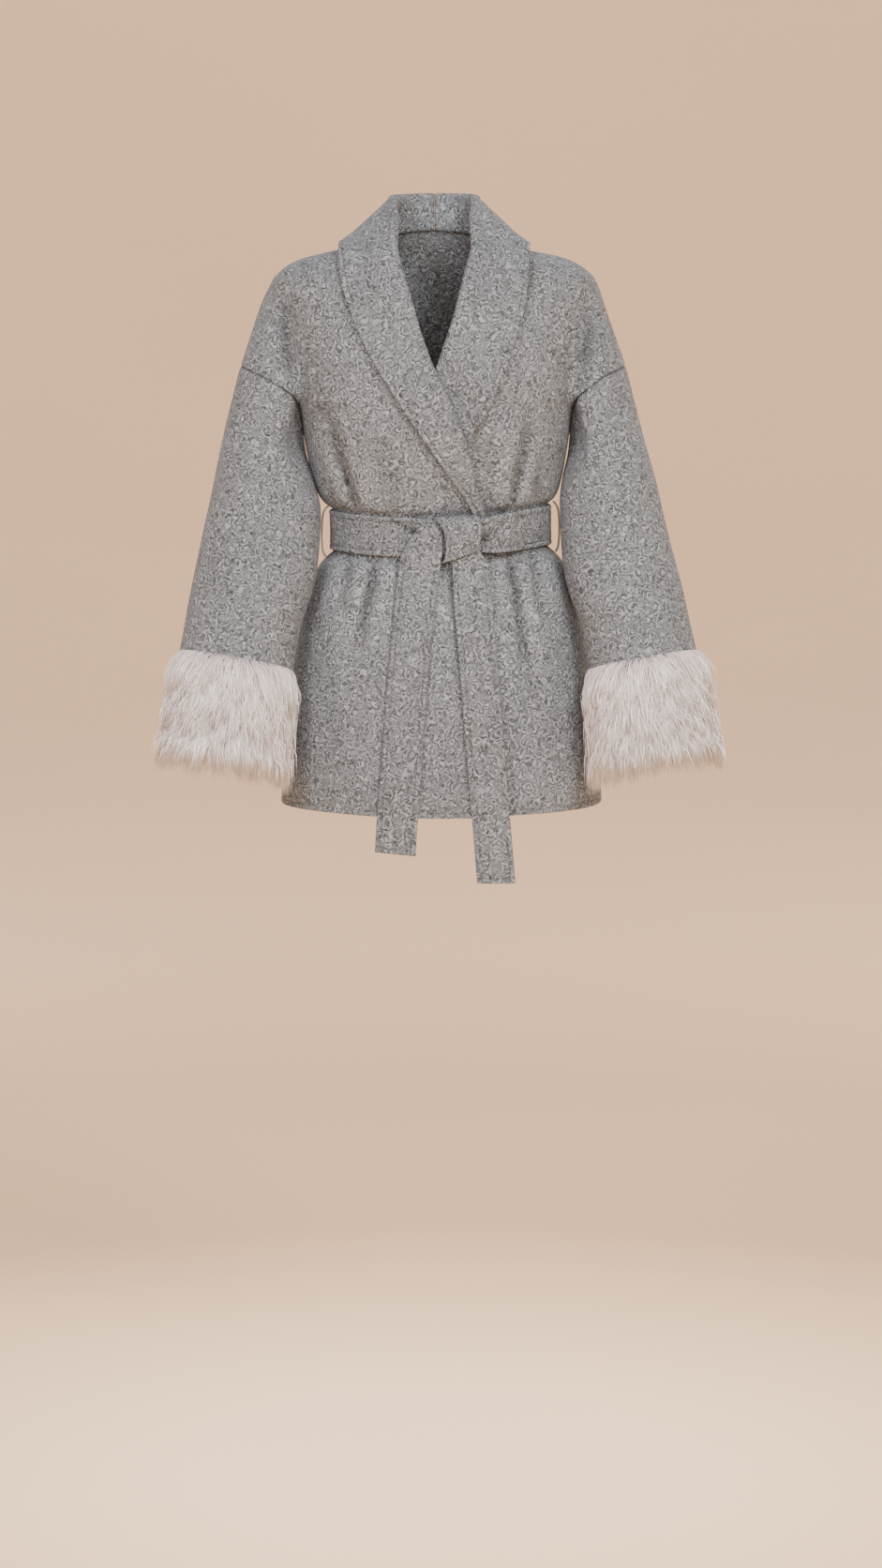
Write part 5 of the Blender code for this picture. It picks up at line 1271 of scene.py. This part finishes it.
def furBacking():
    # the skin side and the dense short underfur: matt, warm grey, kept darker than the hair so that it also gives
    # painted shade between the hair's tips
    backingLook = {"nap": 0.0016, "low": "#a79b95", "high": "#d2c7c1"}
    material, tree, shader = startMaterial("furBacking")
    flat = addNode(tree, "ShaderNodeUVMap", uv_map="cloth")
    nap = addNode(tree, "ShaderNodeTexNoise", {"Vector": flat, "Scale": 1 / backingLook["nap"], "Detail": 3.0})
    tone = addNode(tree, "ShaderNodeMix", {0: nap, 6: toLinear(backingLook["low"]),
                                           7: toLinear(backingLook["high"])}, data_type="RGBA")
    bump = addNode(tree, "ShaderNodeBump", {"Height": nap, "Strength": 0.8, "Distance": 0.0010})
    setInputs(tree, shader, {"Base Color": tone, "Normal": bump, "Roughness": 0.95})
    return material


woolCloth, tape, hair, backing = feltedWool(), wovenTape(), longHairFur(), furBacking()
print("materials made")


def dress(piece, node):
    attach(piece, "root")
    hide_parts(node)
    return piece


sides = ((-1, "Right", "right"), (1, "Left", "left"))       # of the wearer, who faces -Y

for side, label, end in sides:
    front = makeCloth("front" + label, frontGrid(side), cloth["thickness"], ("turned", "seam", "turned", "seam"),
                      woolCloth, face=-1)
    dress(front, "front_" + end)

back = makeCloth("backPanel", backGrid(), cloth["thickness"], ("turned", "seam", "seam", "seam"), woolCloth, face=1)
dress(back, "back_panel")

for side, label, end in sides:
    sleeve = makeCloth("sleeve" + label, sleeveGrid(side), cloth["thickness"], ("seam", "plain", "plain", "plain"),
                       woolCloth, closed=True)
    dress(sleeve, "sleeve_" + end)
print("panels and sleeves made")


def collarShape(points, fromEdge):
    fade = ease(*collar["edgeFade"], points[..., 2] - belt["middle"])
    return collar["edgeLift"] * np.exp(-((fromEdge / collar["edgeReach"]) ** 2)) * fade


for side, label, end in sides:
    fall = makeCloth("collar" + label, collarGrid(side), collar["thickness"], ("seam", "plain", "plain", "turned"),
                     woolCloth, middle=True, shape=collarShape)
    dress(fall, "collar_" + end)

# creases that run into the knot, by their places across and over the belt's middle
creaseTable = table(
    "fromX fromHeight toX toHeight depth width",
    (-0.064, 0.021, -0.016, 0.001, 0.0044, 0.0042),
    (-0.050, -0.004, -0.018, -0.008, 0.0030, 0.0045),
    (0.084, 0.010, 0.050, -0.004, 0.0040, 0.0040),
    (0.090, -0.013, 0.050, -0.006, 0.0036, 0.0042),
)
creaseShape = {"growth": 0.6, "end": 1.1, "frontPast": -0.03}


def beltShape(points, fromEdge=None):
    x = points[..., 0]
    height = points[..., 2] - belt["middle"] - beltRise(x, -1)
    depth = np.zeros(x.shape)
    for x0, z0, x1, z1, deep, wide in zip(*creaseTable.values()):
        share = (x - x0) / (x1 - x0)
        inside = (share > 0) & (share < creaseShape["end"])
        away = height - (z0 + (z1 - z0) * share)
        depth += deep * np.clip(share, 0, 1) ** creaseShape["growth"] * inside * np.exp(-((away / wide) ** 2))
    return -depth * (points[..., 1] < creaseShape["frontPast"])


beltPoints, beltOut = beltGrid()
band = makeCloth("beltBand", (beltPoints + beltOut * belt["thickness"], beltOut), belt["thickness"],
                 ("turned", "turned", "plain", "plain"), woolCloth, closed=True, shape=beltShape)
dress(band, "belt_band")

knot = makeCloth("beltKnot", knotGrid(), belt["thickness"], ("turned",) * 4, woolCloth, middle=True)
dress(knot, "belt_knot")

# Belt ends: the two edges of the ribbon, and how far it stands off the front.
tailRightTable = table(
    "leftX leftHeight rightX rightHeight lift",
    (-0.0010, -0.3350, 0.0060, -0.3450, 0.0126),
    (-0.0180, -0.3345, 0.0070, -0.3520, 0.0128),
    (-0.0290, -0.3470, 0.0065, -0.3610, 0.0142),
    (-0.0370, -0.3590, 0.0055, -0.3710, 0.0142),
    (-0.0440, -0.3720, 0.0040, -0.3830, 0.0122),
    (-0.0480, -0.4000, 0.0005, -0.4080, 0.0060),
    (-0.0530, -0.4450, -0.0050, -0.4490, 0.0032),
    (-0.0600, -0.5200, -0.0115, -0.5220, 0.0030),
    (-0.0680, -0.6200, -0.0190, -0.6230, 0.0030),
    (-0.0735, -0.6900, -0.0240, -0.6930, 0.0030),
    (-0.0757, -0.7250, -0.0262, -0.7290, 0.0030),
)
tailLeftTable = table(
    "leftX leftHeight rightX rightHeight lift",
    (0.0170, -0.3660, 0.0460, -0.3600, 0.0130),
    (0.0165, -0.3780, 0.0545, -0.3720, 0.0136),
    (0.0175, -0.3930, 0.0620, -0.3880, 0.0095),
    (0.0190, -0.4250, 0.0655, -0.4220, 0.0045),
    (0.0240, -0.4800, 0.0705, -0.4790, 0.0032),
    (0.0305, -0.5600, 0.0770, -0.5600, 0.0030),
    (0.0380, -0.6500, 0.0840, -0.6500, 0.0030),
    (0.0430, -0.7100, 0.0890, -0.7100, 0.0030),
    (0.0470, -0.7620, 0.0935, -0.7630, 0.0030),
)

beltEnds = {"camber": 0.0012, "rows": 90, "columns": 15}    # camber: height of the middle over the edges
for (side, label, end), edges in zip(sides, (tailRightTable, tailLeftTable)):
    x, z, lift, share = ribbon(edges, beltEnds["rows"], beltEnds["columns"], "lift")
    points = bellyPoint(x, z, lift + belt["thickness"] + beltEnds["camber"] * (1 - (2 * share - 1) ** 2))
    tail = makeCloth("beltTail" + label, (points, gridNormals(points, (0, -1, 0))), belt["thickness"],
                     ("plain", "turned", "turned", "turned"), woolCloth)
    dress(tail, "belt_tail_" + end)

for side, label, end in sides:
    loop = makeCloth("beltLoop" + label, loopGrid(side), carrier["thickness"], ("plain",) * 4, tape, middle=True)
    dress(loop, "belt_loop_" + end)
print("collar and belt made")

# the fur cuff's skin, in half sizes, and the hair's locks, which lie over each other from the end of the
# sleeve down and fall past the skin
furCuff = {
    "sleeveWidth": 0.0700, "sleeveDepth": 0.0628, "topWidth": 0.0680, "topDepth": 0.0600,
    "skinWidth": 0.0625, "skinDepth": 0.0590, "settle": 0.012, "skinLength": 0.112, "skinThickness": 0.0050,
    "skinRows": 24, "skinColumns": 72,
}
furHair = {
    "locks": 1320, "strands": 15, "seed": 21,
    "overSleeve": 0.0065, "lastLock": 0.090, "pastLast": 0.004,     # where the first and the last locks grow
    "steps": (0.754878, 0.569840),              # shares down and round from lock to lock, which spread evenly
    "stray": (0.020, 0.006),                    # how far they stray from there
    "hemEvery": 6, "hemShare": 0.12,            # every sixth lock grows near the hem
    "lockSpread": 0.0052, "hairWidth": 0.00058,
    "length": 0.058, "lockLengths": (0.76, 1.08), "hairLengths": (0.87, 1.06), "shorterBelow": (1.08, 0.14),
    "rise": 0.0205, "lockRises": (0.70, 1.02), "hairRises": (0.82, 1.12), "higherBelow": (0.88, 0.22),
    "sweep": 0.42, "lockLean": 0.11, "hairLean": 0.03, "lockBend": 0.030, "hairBend": 0.008,
    "wild": 0.035, "wildLength": 1.12, "wildRise": 1.35, "wildLean": 0.22,      # a few hairs stand out
    "rings": (0.0, 0.20, 0.56, 1.0), "taper": (0.9, 1.0, 0.72), "hairWidths": (0.7, 1.35),
    "gather": 0.68, "gatherCurve": 1.2,         # the hairs of a lock draw together towards its tip
    "fall": 0.90, "fallCurve": 1.25, "riseCurve": 2.0, "leanCurve": 1.8, "wave": 4.0, "leanLength": 0.075,
    "skinStep": 0.85, "rootSink": 0.0008, "tipSink": 0.0030, "hairTone": 0.4,
}


def skinRadius(gone):
    settle = np.exp(-np.clip(gone, 0, None) / furCuff["settle"])
    width = furCuff["skinWidth"] + (furCuff["topWidth"] - furCuff["skinWidth"]) * settle
    depth = furCuff["skinDepth"] + (furCuff["topDepth"] - furCuff["skinDepth"]) * settle
    return np.where(gone < 0, furCuff["sleeveWidth"], width), np.where(gone < 0, furCuff["sleeveDepth"], depth)


def skinPoint(side, gone, turn, lift=0.0):
    width, depth = skinRadius(gone)
    return cuffRings(side, gone, width + lift, depth + lift, turn)


def makeSkin(side, name):
    down = np.linspace(cloth["layerGap"], furCuff["skinLength"], furCuff["skinRows"])
    gone = down[:, None] + np.zeros(furCuff["skinColumns"])
    turn = np.linspace(0, 2 * np.pi, furCuff["skinColumns"], endpoint=False)[None, :] + 0 * gone
    shell = (skinPoint(side, gone, turn, lift) for lift in (0.0, -furCuff["skinThickness"]))
    outer, inner = (np.concatenate([face, face[:, :1]], axis=1) for face in shell)
    return buildShell(name, outer, inner, backing, True)


def makeHair(side, name, half):
    fur = furHair
    random = np.random.default_rng(fur["seed"] + 10 * (side + 1) + half)
    locks, spread = fur["locks"] // 2, fur["lockSpread"]
    hairs = (locks, fur["strands"])
    number = np.arange(locks) + half * locks
    share, around = ((fur["steps"][k] * number + random.normal(0, fur["stray"][k], locks)) % 1.0 for k in range(2))
    share = np.where(number % fur["hemEvery"] == 0, 1 - fur["hemShare"] * share, share)
    lockGone = -fur["overSleeve"] + (fur["lastLock"] + fur["overSleeve"]) * share
    lockTurn = 2 * np.pi * around
    shorter, higher = fur["shorterBelow"], fur["higherBelow"]
    lockLength = fur["length"] * random.uniform(*fur["lockLengths"], locks) * (shorter[0] - shorter[1] * share)
    lockRise = fur["rise"] * random.uniform(*fur["lockRises"], locks) * (higher[0] + higher[1] * share)
    lockLean = fur["sweep"] * -np.sin(2 * lockTurn) + random.normal(0, fur["lockLean"], locks)
    lockTone = random.uniform(0, 1, locks)
    wild = random.uniform(0, 1, hairs) < fur["wild"]
    gone = lockGone[:, None] + random.normal(0, spread, hairs)
    gone = np.clip(gone, -fur["overSleeve"], fur["lastLock"] + fur["pastLast"])
    turn = lockTurn[:, None] + random.normal(0, spread, hairs) / furCuff["skinWidth"]
    length = lockLength[:, None] * random.uniform(*fur["hairLengths"], hairs) * np.where(wild, fur["wildLength"], 1.0)
    rise = lockRise[:, None] * random.uniform(*fur["hairRises"], hairs) * np.where(wild, fur["wildRise"], 1.0)
    lean = lockLean[:, None] + random.normal(0, fur["hairLean"], hairs)
    lean = lean + wild * random.normal(0, fur["wildLean"], hairs)
    bend = random.normal(0, fur["lockBend"], (locks, 1)) + random.normal(0, fur["hairBend"], hairs)
    tone = (1 - fur["hairTone"]) * lockTone[:, None] + fur["hairTone"] * random.uniform(0, 1, hairs)
    rings = np.array(fur["rings"])
    path = []
    for s in rings:
        pull = fur["gather"] * s ** fur["gatherCurve"]
        swing = lean * (1 - (1 - s) ** fur["leanCurve"]) + bend * math.sin(fur["wave"] * s)
        swing = swing * length / fur["leanLength"]
        down = gone + (lockGone[:, None] - gone) * pull + length * fur["fall"] * s ** fur["fallCurve"]
        away = turn + (lockTurn[:, None] - turn) * pull + swing
        width, depth = skinRadius(gone)
        stand = rise - fur["skinStep"] * (width - furCuff["skinWidth"])
        out = stand * (1 - (1 - s) ** fur["riseCurve"]) - fur["rootSink"] - fur["tipSink"] * s ** 3
        path.append(cuffRings(side, down, width + out, depth + out, away))
    path = np.stack(path, axis=2).reshape(-1, len(rings), 3)
    count = len(path)
    run = unit(np.gradient(path, axis=1))
    twist = random.uniform(0, 2 * np.pi, count)
    first = unit(np.cross(run, np.array([0.3, 0.5, 0.1])))
    second = np.cross(run, first)
    thick = fur["hairWidth"] * random.uniform(*fur["hairWidths"], (count, 1)) * np.array(fur["taper"])
    # each hair is a three-sided rod of three rings and a tip
    points = []
    for k in range(3):
        for corner in range(3):
            angle = twist + corner * 2 * np.pi / 3
            aside = first[:, k] * np.cos(angle)[:, None] + second[:, k] * np.sin(angle)[:, None]
            points.append(path[:, k] + aside * thick[:, k:k + 1])
    points.append(path[:, 3])
    points = np.stack(points, axis=1)
    triangles = [(2, 1, 0)]
    for k in range(2):
        for corner in range(3):
            a, b = 3 * k + corner, 3 * k + (corner + 1) % 3
            triangles += [(a, b, b + 3), (a, b + 3, a + 3)]
    triangles += [(6 + corner, 6 + (corner + 1) % 3, 9) for corner in range(3)]
    faces = (np.arange(count) * 10)[:, None, None] + np.array(triangles)[None]
    piece = meshObject(name, points.reshape(-1, 3), faces.reshape(-1, 3), hair)
    colour = np.ones((count, 10, 4), dtype=np.float32)
    colour[..., 0] = tone.reshape(-1)[:, None]
    colour[..., 1] = np.concatenate([np.repeat(rings[:3], 3), [1.0]])[None, :]
    layer = piece.data.color_attributes.new("hairShade", "FLOAT_COLOR", "POINT")
    layer.data.foreach_set("color", colour.ravel())
    return piece


for side, label, end in sides:
    locks = [dress(makeHair(side, f"furHair{label}{half + 1}", half), "fur_cuff_" + end)
             for half in range(2)]
    dress(makeSkin(side, "cuffSkin" + label), "fur_cuff_" + end)
print("fur made")
